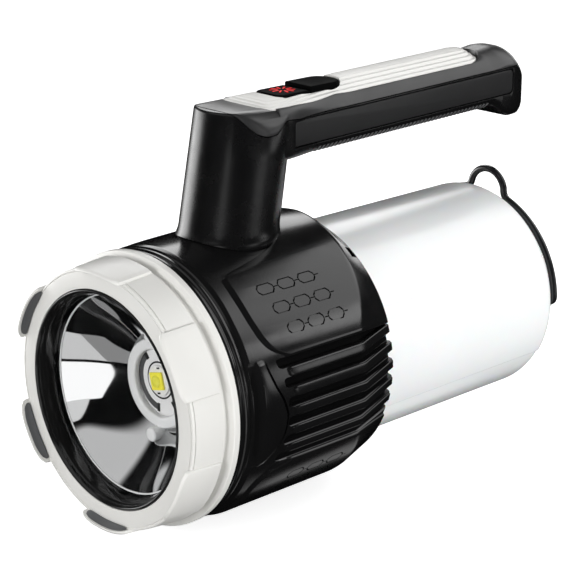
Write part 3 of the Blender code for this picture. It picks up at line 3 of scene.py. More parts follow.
import bmesh
import bpy
from bpy.props import FloatProperty, FloatVectorProperty, IntProperty, PointerProperty
from mathutils import Matrix, Vector


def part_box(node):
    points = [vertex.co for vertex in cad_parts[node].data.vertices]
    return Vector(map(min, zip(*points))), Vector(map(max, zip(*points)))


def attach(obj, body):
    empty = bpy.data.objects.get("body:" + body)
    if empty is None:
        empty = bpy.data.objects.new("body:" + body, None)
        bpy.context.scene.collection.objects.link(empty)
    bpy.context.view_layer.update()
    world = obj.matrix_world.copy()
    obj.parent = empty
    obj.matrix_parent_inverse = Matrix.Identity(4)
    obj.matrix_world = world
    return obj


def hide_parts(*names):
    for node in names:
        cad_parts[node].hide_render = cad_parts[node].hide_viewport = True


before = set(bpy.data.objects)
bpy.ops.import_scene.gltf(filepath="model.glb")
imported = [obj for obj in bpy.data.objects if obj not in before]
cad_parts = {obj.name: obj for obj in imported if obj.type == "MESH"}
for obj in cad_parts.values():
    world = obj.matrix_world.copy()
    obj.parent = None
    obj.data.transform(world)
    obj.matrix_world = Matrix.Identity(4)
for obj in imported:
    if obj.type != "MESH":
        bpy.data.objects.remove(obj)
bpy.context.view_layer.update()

bl_info = {
    "name": "Handheld Searchlight",
    "version": (1, 0, 0),
    "blender": (4, 5, 0),
    "location": "View3D > Sidebar > Searchlight",
    "description": "Builds the outer pieces, finishes and studio of a searchlight with a lantern tail",
    "category": "Object",
}

# The lamp's own axis: y is counted from the lens ring's mouth towards the rear
LENS_LOW, LENS_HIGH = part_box("lens")
LENS_REAR = 0.0083
AXIS_Z = (LENS_LOW.z + LENS_HIGH.z) / 2
PLACE = Matrix.Translation((0, LENS_HIGH.y - LENS_REAR, AXIS_Z))

# Head
OPENING_RADIUS = 0.0395
BEZEL_BORE = 0.0398
BEZEL_FRONT_RADIUS = 0.0469
BEZEL_REAR_RADIUS = 0.0480
BEZEL_LENGTH = 0.0132
GROOVE_END = 0.0152
FLANGE_RADIUS = 0.0501
BEZEL_REAR = 0.0186
THREAD_RADIUS = 0.0436
THREAD_FRONT = 0.0116
PAD_RISE = 0.0010
PAD_TURN = 30
PAD_SWEEP = 30.0
PAD_STATIONS = 30
LUG_REACH = 0.0037
LUG_WALL = 0.0013
LUG_END_SHARE = 0.30
# Sweep and stations of the dark pads that paint shade inside the lugs
SHADE_PAD_SWEEP = PAD_SWEEP * 0.89
SHADE_PAD_STATIONS = 24
RING_BORE = 0.0379
LENS_RADIUS = 0.0376
LENS_THICKNESS = 0.0021
REFLECTOR_DEPTH = 0.0174
RIM_FRONT = 0.0086
RIM_RADIUS = 0.0361
THROAT_RADIUS = 0.0169
BOWL_BULGE = 0.0012
BOWL_WALL = 0.0012
BOWL_STATIONS = 40
BOWL_SEAT_RADIUS = 0.0392
NOTCH_RADIUS = 0.0030
BOARD_FRONT = 0.0263
BOARD_RADIUS = 0.0188
BOARD_THICKNESS = 0.0016
BOSS_OFFSET = 0.0186
BOSS_RADIUS = 0.0027
BOSS_HEIGHT = 0.0058
GASKET_RADIUS = 0.0166
GASKET_BORE = 0.0124
GASKET_HEIGHT = 0.0024
PRINT_RISE = 0.00008
PRINT_SINK = 0.0001
BASE_RADIUS = 0.0056
BASE_RISE = 0.0009
DOME_RADIUS = 0.0023
DOME_RISE = 0.0009
CHIP_PLACE = Matrix.Translation((-0.0008, 0, 0.0005))

# Body
BODY_RADIUS = 0.0509
FRAME_RADIUS = 0.0500
BODY_REAR = 0.0971
TAPER_START = 0.0790
REAR_RADIUS = 0.0464
SHOULDER_START = 0.0264
COLLAR_FRONT = 0.0101
COLLAR_BORE = 0.0378
COLLAR_RADIUS = 0.0395
NECK_BORE = 0.0403
DRUM_BORE = 0.0440
REAR_BORE = 0.0427
RING_START = 0.0189
RING_PITCH = 0.0029
RING_RADIUS = 0.0496
PANEL_FRONT = 0.0330
PANEL_REACH = 0.0472
PANEL_SLOPE_REACH = 0.0140
PANEL_WALL = 0.0014
PANEL_ROOT = 0.0018
CROWN_SHARES = (
    (21.6, 0.235, 0.04), (23.5, 0.160, 0.09), (27.0, 0.086, 0.18), (32.0, 0.039, 0.29),
    (40.0, 0.009, 0.43), (49.0, 0.000, 0.57), (58.0, 0.010, 0.69), (60.5, 0.086, 0.73),
    (63.0, 0.288, 0.76), (66.0, 0.500, 0.79), (69.0, 0.640, 0.82), (72.0, 0.720, 0.84),
    (76.0, 0.800, 0.88), (80.0, 0.840, 0.92), (90.0, 0.850, 1.00),
)
BELLY_SHARES = (
    (25.1, 0.278, 0.04), (26.6, 0.171, 0.07), (29.5, 0.075, 0.12), (33.0, 0.010, 0.18),
    (38.0, -0.022, 0.24), (50.0, -0.030, 0.32), (64.0, -0.030, 0.32), (77.0, -0.030, 0.32),
    (90.0, -0.030, 0.32),
)
LEAF_SHARES = (
    (-23.6, 0.20), (-20.0, 0.46), (-15.0, 0.76), (-9.0, 0.93), (-3.0, 0.98), (4.0, 0.86),
    (11.0, 0.63), (18.0, 0.47), (23.4, 0.39),
)
LEAF_START = 0.0268
LEAF_BOW = 0.0136
RIB_FRONT = 0.0366
RIB_BOW = 0.0048
RIB_PITCH = 8.2
RIB_MIDDLE = -1.7
RIB_SWEEP_RATE = 3.6
GROOVE_HALF_WIDTH = 0.0015
RIB_HALF_WIDTH = 0.0017
GROOVE_SHADE_HALF_WIDTH = 0.00135
CUT_RADIUS = 0.0520
CELL_LENGTH = 0.0078
CELL_PITCH = 0.0098
MARK_DEPTH = 0.0012
MARK_TOP = 0.0010
MARK_PITCH = 9.0
CHAIN_ROWS = 3
CHAIN_CELLS = 3
SLOT_TURN = 34

# Tail
DIFFUSER_RADIUS = 0.0424
DIFFUSER_FRONT = 0.0861
DIFFUSER_END = 0.1952
DIFFUSER_WALL = 0.0022
DIFFUSER_FILLET = 0.0045
DIFFUSER_LIP = 0.0437
MOULD_LINES = ((28.0, 152.0), (-28.0, 208.0))
MOULD_LINE_WIDTH = 0.35
MOULD_LINE_DEPTH = 0.00022
BAIL_Y = 0.1973
BAIL_RADIUS = 0.0400
LOOP_RADIUS = 0.0087
LOOP_ANGLE = 85.0
PIN_BEND = 0.0028
PIN_LENGTH = 0.0046
PIN_RADIUS = 0.0014
PIN_GAP = 0.0003
EAR_WALL = 0.0016
EAR_HALF_HEIGHT = 0.0034

# Handle
NECK_HALF_WIDTH = 0.0177
NECK_HALF_LENGTH = 0.0187
NECK_FOOT_Y = 0.0586
NECK_FOOT_Z = 0.0490
NECK_LEAN = 10.2
NECK_STEPS = 128
DOME_FLAT = 0.0096
DOME_RUN = 0.0079
DOME_FALL = 0.0095
GRIP_START = 0.0800
GRIP_SLOPE = 0.0175
GRIP_HALF_WIDTH = 0.0130
GRIP_BOTTOM = 0.0753
GRIP_TOP = 0.0950
GRIP_END = 0.2085
GRIP_TOP_RUN = 0.0105
ROUNDING_RUN = 0.0320
STOP_LENGTH = 0.0215
STOP_DROP = 0.0060
STOP_FALL = 0.0100
SIDE_PANEL_FRONT = 0.0780
SIDE_PANEL_END = 0.1998
SIDE_PANEL_WALL = 0.0012
PAD_START = 0.0900
PAD_END = 0.1850
SEAM_HEIGHT = 0.0892
SEAM_RUN = 0.0330
SEAM_RISE = 0.0084
SEAM_SHARES = (
    (1.00, 1.00), (0.885, 0.74), (0.83, 0.57), (0.78, 0.345), (0.71, 0.00), (0.62, -0.275),
    (0.515, -0.38), (0.405, -0.355), (0.31, -0.13), (0.22, 0.085), (0.12, 0.06), (0.00, 0.00),
)
SQUARE_SHARES = ((0, 1), (0.01, 0.70), (0.05, 0.42), (0.13, 0.19), (0.30, 0.05), (1, 0))
ROUND_SHARES = ((0, 1), (0.08, 0.76), (0.22, 0.52), (0.45, 0.26), (0.75, 0.06), (1, 0))
GRIP_END_SHARES = (
    (0.00, 1.00, 0.00, -0.14, 1.00), (0.19, 1.00, 0.29, -0.17, 1.00), (0.37, 1.00, 0.74, -0.20, 1.00),
    (0.58, 0.99, 1.00, -0.16, 1.00), (0.77, 0.96, 1.00, 0.00, 0.98), (0.90, 0.90, 0.82, 0.25, 0.92),
    (0.97, 0.82, 0.52, 0.58, 0.84), (0.985, 0.70, 0.05, 0.95, 0.72),
)
EDGE_PITCH = 0.0021
INSERT_START = 0.0652
INSERT_END = 0.1872
INSERT_HEAD = 0.0129
INSERT_WAIST = 0.0094
INSERT_CORNER = 0.0052
INSERT_SHOULDER = 0.0765
INSERT_NARROWING = 0.0265
INSERT_WAIST_START = 0.1030
BUTTON_START = 0.0780
BUTTON_STEP = 0.0930
BUTTON_END = 0.1110
BUTTON_HALF_WIDTH = 0.0071
BUTTON_CORNER = 0.0026
BUTTON_END_CORNER = 0.0062
BUTTON_GAP = 0.0004
BUTTON_RISE = 0.0021
WELL_TOP = GRIP_TOP + 0.008


# Plain shapes. Each is a pair of lists, its points and its faces.

def joined(*shapes):
    points = []
    faces = []
    for more_points, more_faces in shapes:
        first = len(points)
        points += more_points
        faces += [tuple(index + first for index in face) for face in more_faces]
    return points, faces


def moved(shape, matrix):
    return [tuple(matrix @ Vector(point)) for point in shape[0]], shape[1]


# An outline with its corners rounded. Each corner is (a, b, cut), the cut being how far
# along its sides the rounding reaches.
def rounded(corners, closed=True, steps=3):
    spots = [Vector(corner[:2]) for corner in corners]
    count = len(corners)
    line = []
    for index, corner in enumerate(corners):
        cut = corner[2] if len(corner) > 2 else 0
        if not cut or (not closed and index in (0, count - 1)):
            line.append(tuple(spots[index]))
            continue
        before = spots[index - 1] - spots[index]
        after = spots[(index + 1) % count] - spots[index]
        reach = min(cut, before.length * 0.46, after.length * 0.46)
        start = spots[index] + before.normalized() * reach
        end = spots[index] + after.normalized() * reach
        for step in range(steps + 1):
            share = step / steps
            spot = start * (1 - share) ** 2 + spots[index] * 2 * share * (1 - share) + end * share ** 2
            line.append(tuple(spot))
    return line


# An outline of (y, radius) spots turned round the axis.
def turned(outline, steps, closed=True):
    count = len(outline)
    points = []
    faces = []
    for step in range(steps):
        turn = math.tau * step / steps
        points += [(radius * math.cos(turn), y, radius * math.sin(turn)) for y, radius in outline]
    for step in range(steps):
        here = step * count
        there = (step + 1) % steps * count
        for index in range(count if closed else count - 1):
            after = (index + 1) % count
            faces.append((here + index, here + after, there + after, there + index))
    return points, faces


# The same with rounded corners. The outline starts and ends on the axis unless it is closed.
def lathed(corners, steps, closed=False, curve=3):
    return turned(rounded(corners, closed, curve), steps, closed)


# A closed body through rings of equal length. Its ends are one face each, or strips
# between facing points where an end is not flat.
def lofted(rings, strips=False):
    count = len(rings[0])
    points = [point for ring in rings for point in ring]
    faces = []
    for row in range(len(rings) - 1):
        here = row * count
        there = here + count
        for index in range(count):
            after = (index + 1) % count
            faces.append((here + index, here + after, there + after, there + index))
    for first in (0, (len(rings) - 1) * count):
        if not strips:
            faces.append(tuple(first + index for index in range(count)))
            continue
        for index in range(count // 2 - 1):
            across = count - 1 - index
            faces.append((first + index, first + index + 1, first + across - 1, first + across))
    return points, faces


def drum_point(y, angle, radius):
    turn = math.radians(angle)
    return (radius * math.cos(turn), y, radius * math.sin(turn))


# A strip that runs round the axis. Each station is an angle and the corners of the outline there.
def swept_round(stations):
    return lofted([[drum_point(y, angle, radius) for y, radius in rounded(corners)]
                   for angle, corners in stations])


# An outline in y and z carried across from one x to another.
def slab(outline, across):
    return lofted([[(x, y, z) for y, z in outline] for x in across])


def box_shape(low, high):
    flat = [(low[0], low[1]), (high[0], low[1]), (high[0], high[1]), (low[0], high[1])]
    return lofted([[(x, y, z) for x, y in flat] for z in (low[2], high[2])])


# A smooth run of values through given ones that never swings past them.
def eased(places, values, at):
    last = len(places) - 1
    index = 0
    while index < last - 1 and at > places[index + 1]:
        index += 1
    slopes = []
    for spot in (index, index + 1):
        if spot in (0, last):
            near = (0, 1) if spot == 0 else (last - 1, last)
            gap = places[near[1]] - places[near[0]]
            slopes.append((values[near[1]] - values[near[0]]) / gap if gap else 0)
            continue
        left_gap = places[spot] - places[spot - 1]
        right_gap = places[spot + 1] - places[spot]
        left = (values[spot] - values[spot - 1]) / left_gap if left_gap else 0
        right = (values[spot + 1] - values[spot]) / right_gap if right_gap else 0
        slopes.append(0 if left * right <= 0 else 2 * left * right / (left + right))
    gap = places[index + 1] - places[index]
    if not gap:
        return values[index]
    share = min(1, max(0, (at - places[index]) / gap))
    square = share * share
    cube = square * share
    return ((2 * cube - 3 * square + 1) * values[index] + (cube - 2 * square + share) * gap * slopes[0]
            + (3 * square - 2 * cube) * values[index + 1] + (cube - square) * gap * slopes[1])


def eased_row(rows, at, column):
    return eased([row[0] for row in rows], [row[column] for row in rows], at)


# The same closed ring with more points on each of its sides.
def finer_ring(ring, times):
    count = len(ring)
    padded = [Vector(ring[index % count]) for index in range(-2, count + 3)]
    places = [0]
    for one, other in zip(padded, padded[1:]):
        places.append(places[-1] + max((other - one).length, 0.0000001))
    columns = [[spot[axis] for spot in padded] for axis in range(3)]
    finer = []
    for index in range(2, count + 2):
        for step in range(times):
            at = places[index] + (places[index + 1] - places[index]) * step / times
            finer.append(tuple(eased(places, column, at) for column in columns))
    return finer


def finer_rings(rings, times):
    places = [sum(point[1] for point in ring) / len(ring) for ring in rings]
    count = len(rings[0])
    columns = [[[ring[index][axis] for ring in rings] for axis in range(3)] for index in range(count)]
    finer = []
    for row in range(len(rings) - 1):
        for step in range(times):
            at = places[row] + (places[row + 1] - places[row]) * step / times
            finer.append([tuple(eased(places, column, at) for column in columns[index])
                          for index in range(count)])
    finer.append(rings[-1])
    return finer


# Objects

def solid(name, shape, placed=True):
    mesh = bpy.data.meshes.new(name)
    mesh.from_pydata(shape[0], [], shape[1])
    tidy_mesh(mesh)
    if placed:
        mesh.transform(PLACE)
    item = bpy.data.objects.new(name, mesh)
    bpy.context.scene.collection.objects.link(item)
    return item


def tidy_mesh(mesh):
    bm = bmesh.new()
    bm.from_mesh(mesh)
    bmesh.ops.remove_doubles(bm, verts=bm.verts, dist=0.0000005)
    bmesh.ops.recalc_face_normals(bm, faces=bm.faces)
    bm.to_mesh(mesh)
    bm.free()


# Turns what the modifiers give into the object's own plain mesh.
def settle(item):
    bpy.context.view_layer.update()
    graph = bpy.context.evaluated_depsgraph_get()
    mesh = bpy.data.meshes.new_from_object(item.evaluated_get(graph))
    item.modifiers.clear()
    old = item.data
    item.data = mesh
    mesh.name = item.name
    bpy.data.meshes.remove(old)
    return item


def combine(item, operation, *tools):
    for tool in tools:
        modifier = item.modifiers.new("shape", "BOOLEAN")
        modifier.operation = operation
        modifier.object = tool
        modifier.solver = "EXACT"
    settle(item)
    if not item.data.polygons:
        raise RuntimeError("%s came out empty" % item.name)
    for tool in tools:
        mesh = tool.data
        bpy.data.objects.remove(tool, do_unlink=True)
        bpy.data.meshes.remove(mesh)
    return item


def soften(item, width, angle=40.0, segments=2):
    modifier = item.modifiers.new("edges", "BEVEL")
    modifier.width = width
    modifier.segments = segments
    modifier.limit_method = "ANGLE"
    modifier.angle_limit = math.radians(angle)
    modifier.use_clamp_overlap = True
    return settle(item)


def gather(name, *items):
    bm = bmesh.new()
    for item in items:
        bm.from_mesh(item.data)
    mesh = bpy.data.meshes.new(name)
    bm.to_mesh(mesh)
    bm.free()
    for item in items:
        bpy.data.objects.remove(item, do_unlink=True)
    whole = bpy.data.objects.new(name, mesh)
    bpy.context.scene.collection.objects.link(whole)
    return whole


def dress(item, look, body="lamp", nodes=(), angle=32.0):
    item.data.materials.clear()
    item.data.materials.append(look)
    for polygon in item.data.polygons:
        polygon.material_index = 0
    item.data.shade_smooth()
    item.data.set_sharp_from_angle(angle=math.radians(angle))
    if nodes:
        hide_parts(*nodes)
    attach(item, body)
    return item


# Node trees

# Adds a node. Each of its inputs gets a value or the output of another node.
def wired(tree, kind, inputs=None, **settings):
    made = tree.nodes.new(kind)
    for key, value in settings.items():
        setattr(made, key, value)
    for key, value in (inputs or {}).items():
        if isinstance(value, bpy.types.NodeSocket):
            tree.links.new(value, made.inputs[key])
        else:
            made.inputs[key].default_value = value
    return made


SOCKET_KINDS = {int: "NodeSocketInt", float: "NodeSocketFloat", tuple: "NodeSocketVector",
                type(None): "NodeSocketMaterial"}


# A geometry tree with a named input for each size and one for the finish.
class NodeTree:
    def __init__(self, name, **sizes):
        self.group = bpy.data.node_groups.new(name, "GeometryNodeTree")
        sockets = self.group.interface
        for way in ("OUTPUT", "INPUT"):
            sockets.new_socket(name="Geometry", in_out=way, socket_type="NodeSocketGeometry")
        sizes["finish"] = None
        self.names = {}
        for key, default in sizes.items():
            title = key.replace("_", " ").capitalize()
            socket = sockets.new_socket(name=title, in_out="INPUT", socket_type=SOCKET_KINDS[type(default)])
            if default is not None:
                socket.default_value = default
            self.names[key] = socket.identifier
        self.given = dict(zip(("geometry", *sizes), self.node("NodeGroupInput").outputs))

    def node(self, kind, inputs=None, **settings):
        return wired(self.group, kind, inputs, **settings)

    def calc(self, operation, *terms):
        return self.node("ShaderNodeMath", dict(enumerate(terms)), operation=operation).outputs[0]

    def vector(self, *parts):
        return self.node("ShaderNodeCombineXYZ", dict(enumerate(parts))).outputs[0]

    def copies(self, points, **more):
        inputs = {"Points": points.outputs[0], "Instance": self.given["geometry"], **more}
        return self.node("GeometryNodeInstanceOnPoints", inputs).outputs[0]

    def end(self, geometry):
        real = self.node("GeometryNodeRealizeInstances", {"Geometry": geometry}).outputs[0]
        done = self.node("GeometryNodeSetMaterial", {"Geometry": real, "Material": self.given["finish"]})
        self.node("NodeGroupOutput", {"Geometry": done.outputs[0]})
        return self


# Copies one piece several times, each turned by a further step.
def turn_repeat_tree():
    tree = NodeTree("turned copies", count=6, turn=(0, 1.0, 0))
    points = tree.node("GeometryNodePoints", {"Count": tree.given["count"]})
    index = tree.node("GeometryNodeInputIndex").outputs[0]
    turn = tree.node("ShaderNodeVectorMath", {0: tree.given["turn"], "Scale": index}, operation="SCALE")
    rotation = tree.node("FunctionNodeEulerToRotation", {0: turn.outputs[0]})
    return tree.end(tree.copies(points, Rotation=rotation.outputs[0]))


# Copies one piece along a straight row.
def row_repeat_tree():
    tree = NodeTree("row of copies", count=3, step=(0, 0.003, 0))
    line = {"Count": tree.given["count"], "Offset": tree.given["step"]}
    return tree.end(tree.copies(tree.node("GeometryNodeMeshLine", line, mode="OFFSET")))


# Sweeps a round wire along the path it is given.
def wire_tree():
    tree = NodeTree("wire along a path", wire_radius=PIN_RADIUS, sides=20)
    path = tree.node("GeometryNodeMeshToCurve", {0: tree.given["geometry"]}).outputs[0]
    sizes = {"Resolution": tree.given["sides"], "Radius": tree.given["wire_radius"]}
    section = tree.node("GeometryNodeCurvePrimitiveCircle", sizes, mode="RADIUS").outputs[0]
    run = {"Curve": path, "Profile Curve": section, "Fill Caps": True}
    return tree.end(tree.node("GeometryNodeCurveToMesh", run).outputs[0])


# Lays copies of a flat strip side by side on the drum. In the strip, x runs round the drum,
# y along it and z stands off its surface. Bow moves the middle strips back, sweep and taper act
# behind the bend, and skew moves each strip further along than the last.
def drum_strips_tree():
    tree = NodeTree("strips on the drum", count=6, pitch=0.14, first=0.0, drum_radius=0.05, middle=0.0,
                    spread=0.43, front=0.0366, bow=0.0, bend=0.0790, sweep=0.0, taper=0.0, skew=0.0)
    given = tree.given
    index = tree.node("GeometryNodeInputIndex").outputs[0]
    angle = tree.calc("ADD", given["first"], tree.calc("MULTIPLY", index, given["pitch"]))
    start = tree.vector(tree.calc("MULTIPLY", angle, given["drum_radius"]),
                        tree.calc("MULTIPLY", index, given["skew"]), 0.0)
    points = tree.node("GeometryNodePoints", {"Count": given["count"], "Position": start})
    real = tree.node("GeometryNodeRealizeInstances", {"Geometry": tree.copies(points)})
    place = tree.node("GeometryNodeInputPosition").outputs[0]
    across, along, height = tree.node("ShaderNodeSeparateXYZ", {0: place}).outputs
    turn = tree.calc("DIVIDE", across, given["drum_radius"])
    off = tree.calc("DIVIDE", tree.calc("SUBTRACT", turn, given["middle"]), given["spread"])
    arch = tree.calc("SUBTRACT", 1.0, tree.calc("MULTIPLY", off, off))
    span = tree.calc("SUBTRACT", given["bend"], given["front"])
    left = tree.calc("DIVIDE", tree.calc("SUBTRACT", given["bend"], along), span)
    share = tree.calc("MINIMUM", 1.0, tree.calc("MAXIMUM", 0.0, left))
    shift = tree.calc("MULTIPLY", tree.calc("MULTIPLY", arch, given["bow"]), share)
    past = tree.calc("MAXIMUM", 0.0, tree.calc("SUBTRACT", along, given["bend"]))
    swept = tree.calc("ADD", turn, tree.calc("MULTIPLY", past, given["sweep"]))
    drop = tree.calc("MULTIPLY", past, given["taper"])
    radius = tree.calc("SUBTRACT", tree.calc("ADD", given["drum_radius"], height), drop)
    spot = tree.vector(tree.calc("MULTIPLY", radius, tree.calc("COSINE", swept)),
                       tree.calc("ADD", along, shift),
                       tree.calc("MULTIPLY", radius, tree.calc("SINE", swept)))
    bent = tree.node("GeometryNodeSetPosition", {"Geometry": real.outputs[0], "Position": spot})
    return tree.end(bent.outputs[0])


def grow(item, tree, look, **sizes):
    modifier = item.modifiers.new(tree.group.name, "NODES")
    modifier.node_group = tree.group
    for key, value in {**sizes, "finish": look}.items():
        modifier[tree.names[key]] = value
    settle(item)


def put_down(item):
    tidy_mesh(item.data)
    item.data.transform(PLACE)
    return item


# Finishes

# Colour, roughness, grain size, grain strength, grain depth, drift of colour and drift of gloss.
# A finish without a colour takes it from the user's settings.
FINISHES = {
    "bezel_plastic": (None, 0.34, 1500.0, 0.05, 0.0001, 0.02, 0.12),
    # Painted shade: the dark grey of the pads inside the lugs
    "lug_pad_rubber": ((0.085, 0.087, 0.09), 0.42, 1800.0, 0.12, 0.0001, 0.05, 0.12),
    "lens_ring_gloss": ((0.008, 0.008, 0.008), 0.10, 400.0, 0.01, 0.0001, 0.1, 0.12),
    "lens_clear": ((0.02, 0.021, 0.022), 0.03, 300.0, 0.01, 0.00005, 0.01, 0.3),
    "reflector_chrome": ((0.90, 0.905, 0.91), 0.035, 700.0, 0.004, 0.00005, 0.01, 0.25),
    # Painted highlight: a pale matt ring standing in for the chrome lip's bright reflection
    "painted_highlight_lip": ((0.86, 0.865, 0.87), 0.3, 700.0, 0.01, 0.00005, 0.01, 0.25),
    "gasket_translucent": ((0.90, 0.91, 0.91), 0.18, 700.0, 0.08, 0.0001, 0.03, 0.12),
    "led_board_white": ((0.86, 0.86, 0.86), 0.35, 1500.0, 0.03, 0.0001, 0.01, 0.12),
    "board_trace_grey": ((0.075, 0.075, 0.078), 0.45, 1500.0, 0.05, 0.0001, 0.05, 0.12),
    "board_line_black": ((0.01, 0.01, 0.01), 0.4, 1500.0, 0.05, 0.0001, 0.05, 0.12),
    "led_base_white": ((0.88, 0.88, 0.87), 0.3, 1500.0, 0.03, 0.0001, 0.01, 0.12),
    "led_phosphor": (None, 0.45, 2600.0, 0.2, 0.0001, 0.10, 0.12),
    # A lighter yellow than the chip, partly a painted highlight on the dome
    "chip_dome_gloss_painted_highlight": ((0.90, 0.86, 0.10), 0.12, 700.0, 0.02, 0.0001, 0.02, 0.12),
    "body_black": (None, 0.17, 1300.0, 0.05, 0.0001, 0.12, 0.15),
    # Painted shade for the floors of the grooves
    "groove_painted_shade": ((0.002, 0.002, 0.0021), 0.6, 1300.0, 0.05, 0.0001, 0.12, 0.15),
    "diffuser_white": (None, 0.20, 500.0, 0.02, 0.0001, 0.01, 0.2),
    "bail_black": ((0.010, 0.010, 0.011), 0.22, 2200.0, 0.10, 0.0001, 0.1, 0.15),
    "neck_gloss": ((0.004, 0.004, 0.0042), 0.26, 500.0, 0.012, 0.0001, 0.1, 0.2),
    "cover_satin": ((0.022, 0.022, 0.0225), 0.33, 1600.0, 0.10, 0.0001, 0.05, 0.1),
    "side_panel_matte": ((0.015, 0.015, 0.0155), 0.46, 1800.0, 0.15, 0.0001, 0.06, 0.1),
    "grip_rubber": ((0.020, 0.020, 0.0205), 0.6, 2200.0, 0.2, 0.0001, 0.06, 0.1),
    "edge_grey": ((0.075, 0.075, 0.077), 0.5, 1800.0, 0.1, 0.0001, 0.06, 0.12),
    "insert_white": (None, 0.38, 1500.0, 0.06, 0.0001, 0.02, 0.12),
    "button_black": ((0.0025, 0.0025, 0.0026), 0.34, 1800.0, 0.08, 0.0001, 0.08, 0.12),
    # Red print; where it is used it also gets a faint painted glow
    "tick_red_painted_glow": ((0.80, 0.010, 0.012), 0.5, 1800.0, 0.08, 0.0001, 0.05, 0.12),
    "port_cover_rubber": ((0.018, 0.018, 0.0185), 0.5, 2200.0, 0.15, 0.0001, 0.06, 0.1),
    "board_green": ((0.03, 0.20, 0.09), 0.4, 900.0, 0.1, 0.0001, 0.2, 0.12),
    "battery_plate": ((0.04, 0.04, 0.045), 0.5, 1200.0, 0.2, 0.0001, 0.08, 0.12),
    "battery_wrap": ((0.05, 0.18, 0.42), 0.3, 600.0, 0.06, 0.0001, 0.05, 0.12),
    "heat_sink_aluminium": ((0.62, 0.63, 0.65), 0.32, 1600.0, 0.2, 0.0001, 0.03, 0.2),
    "socket_metal": ((0.55, 0.56, 0.58), 0.28, 1600.0, 0.1, 0.0001, 0.03, 0.2),
    "lantern_board_white": ((0.85, 0.85, 0.84), 0.4, 1500.0, 0.04, 0.0001, 0.02, 0.12),
    "floor_white": ((0.86, 0.86, 0.86), 0.9, 60.0, 0.02, 0.0001, 0.005, 0.12),
}


def noise(tree, scale, detail):
    place = tree.nodes.get("Texture Coordinate") or tree.nodes.new("ShaderNodeTexCoord")
    inputs = {"Vector": place.outputs["Object"], "Scale": scale, "Detail": detail, "Roughness": 0.55}
    return wired(tree, "ShaderNodeTexNoise", inputs).outputs["Fac"]


def spread(tree, source, low, high):
    inputs = {"Value": source, "From Min": 0.3, "From Max": 0.7, "To Min": low, "To Max": high}
    return wired(tree, "ShaderNodeMapRange", inputs).outputs["Result"]


# A moulded or coated surface: slow drift of colour, patchy gloss and a fine grain.
def moulded(name, color=None, **extra):
    own, roughness, grain, relief, depth, drift, patch = FINISHES[name]
    if color is None:
        color = own
    look = bpy.data.materials.new(name)
    look.use_nodes = True
    tree = look.node_tree
    shader = tree.nodes["Principled BSDF"]
    for socket, value in extra.items():
        shader.inputs[socket.replace("_", " ")].default_value = value
    dark = (*[c * (1 - drift) for c in color], 1)
    light = (*[min(1, c * (1 + drift)) for c in color], 1)
    share = spread(tree, noise(tree, 38.0, 3.0), 0.0, 1.0)
    tint = wired(tree, "ShaderNodeMix", {0: share, 6: dark, 7: light}, data_type="RGBA")
    gloss = spread(tree, noise(tree, 120.0, 4.0), roughness * (1 - patch), roughness * (1 + patch))
    height = noise(tree, grain, 2.0)
    bump = wired(tree, "ShaderNodeBump", {"Strength": relief, "Distance": depth, "Height": height})
    tree.links.new(tint.outputs[2], shader.inputs["Base Color"])
    tree.links.new(gloss, shader.inputs["Roughness"])
    tree.links.new(bump.outputs["Normal"], shader.inputs["Normal"])
    look.diffuse_color = (*color, 1)
    return look


# Settings that a user would change

class LampHeadSizes(bpy.types.PropertyGroup):
    lug_count: IntProperty(name="Lugs", description="Raised pads round the bezel", default=6, min=3, max=12)
    edge: FloatProperty(name="Edge rounding", description="Rounding of the bezel's edges", default=0.0005,
                        unit="LENGTH", min=0.0001, max=0.001)
    chip_turn: FloatProperty(name="Chip turn", description="How far the chip is turned on its base",
                             default=math.radians(15), subtype="ANGLE")
    chip_side: FloatProperty(name="Chip side", description="Length of the chip's side", default=0.0065,
                             unit="LENGTH", min=0.002, max=0.009)


class LampBodySizes(bpy.types.PropertyGroup):
    rib_gaps: IntProperty(name="Rib gaps", description="Grooves on each side of the drum", default=6,
                          min=2, max=8)
    rib_height: FloatProperty(name="Rib height", description="How far a rib stands off the drum",
                              default=0.0007, unit="LENGTH", min=0, max=0.0009)
    gap_depth: FloatProperty(name="Groove depth", description="How deep a groove between ribs is",
                             default=0.0026, unit="LENGTH", min=0.0005, max=0.004)


class LampHandleSizes(bpy.types.PropertyGroup):
    pad_pitch: FloatProperty(name="Pad rib pitch", description="Distance between the grip pad's ribs",
                             default=0.0034, unit="LENGTH", min=0.002, max=0.006)
    tick_count: IntProperty(name="Ticks", description="Marks on the front button", default=10, min=1, max=15)
    wire_radius: FloatProperty(name="Wire radius", description="Radius of the bail's wire", default=0.0014,
                               unit="LENGTH", min=0.0008, max=0.002)


class LampFinishes(bpy.types.PropertyGroup):
    bezel: FloatVectorProperty(name="Bezel", description="Colour of the bezel", subtype="COLOR",
                               default=(0.68, 0.675, 0.65), min=0, max=1)
    black: FloatVectorProperty(name="Black", description="Colour of the body", subtype="COLOR",
                               default=(0.0055, 0.0055, 0.0057), min=0, max=1)
    white: FloatVectorProperty(name="White", description="Colour of the lantern tail", subtype="COLOR",
                               default=(0.86, 0.865, 0.87), min=0, max=1)
    insert: FloatVectorProperty(name="Insert", description="Colour of the grip's insert", subtype="COLOR",
                                default=(0.72, 0.715, 0.69), min=0, max=1)
    glow: FloatVectorProperty(name="Chip", description="Colour of the light source", subtype="COLOR",
                              default=(0.86, 0.78, 0.06), min=0, max=1)


# Head pieces

# How far a lug stands forward at a place along its pad, as a share of its reach.
def lug_share(place):
    near = min(place, 1 - place) * 3
    return LUG_END_SHARE + (1 - LUG_END_SHARE) * math.sqrt(max(0, 1 - (1 - min(1, near)) ** 2.2))


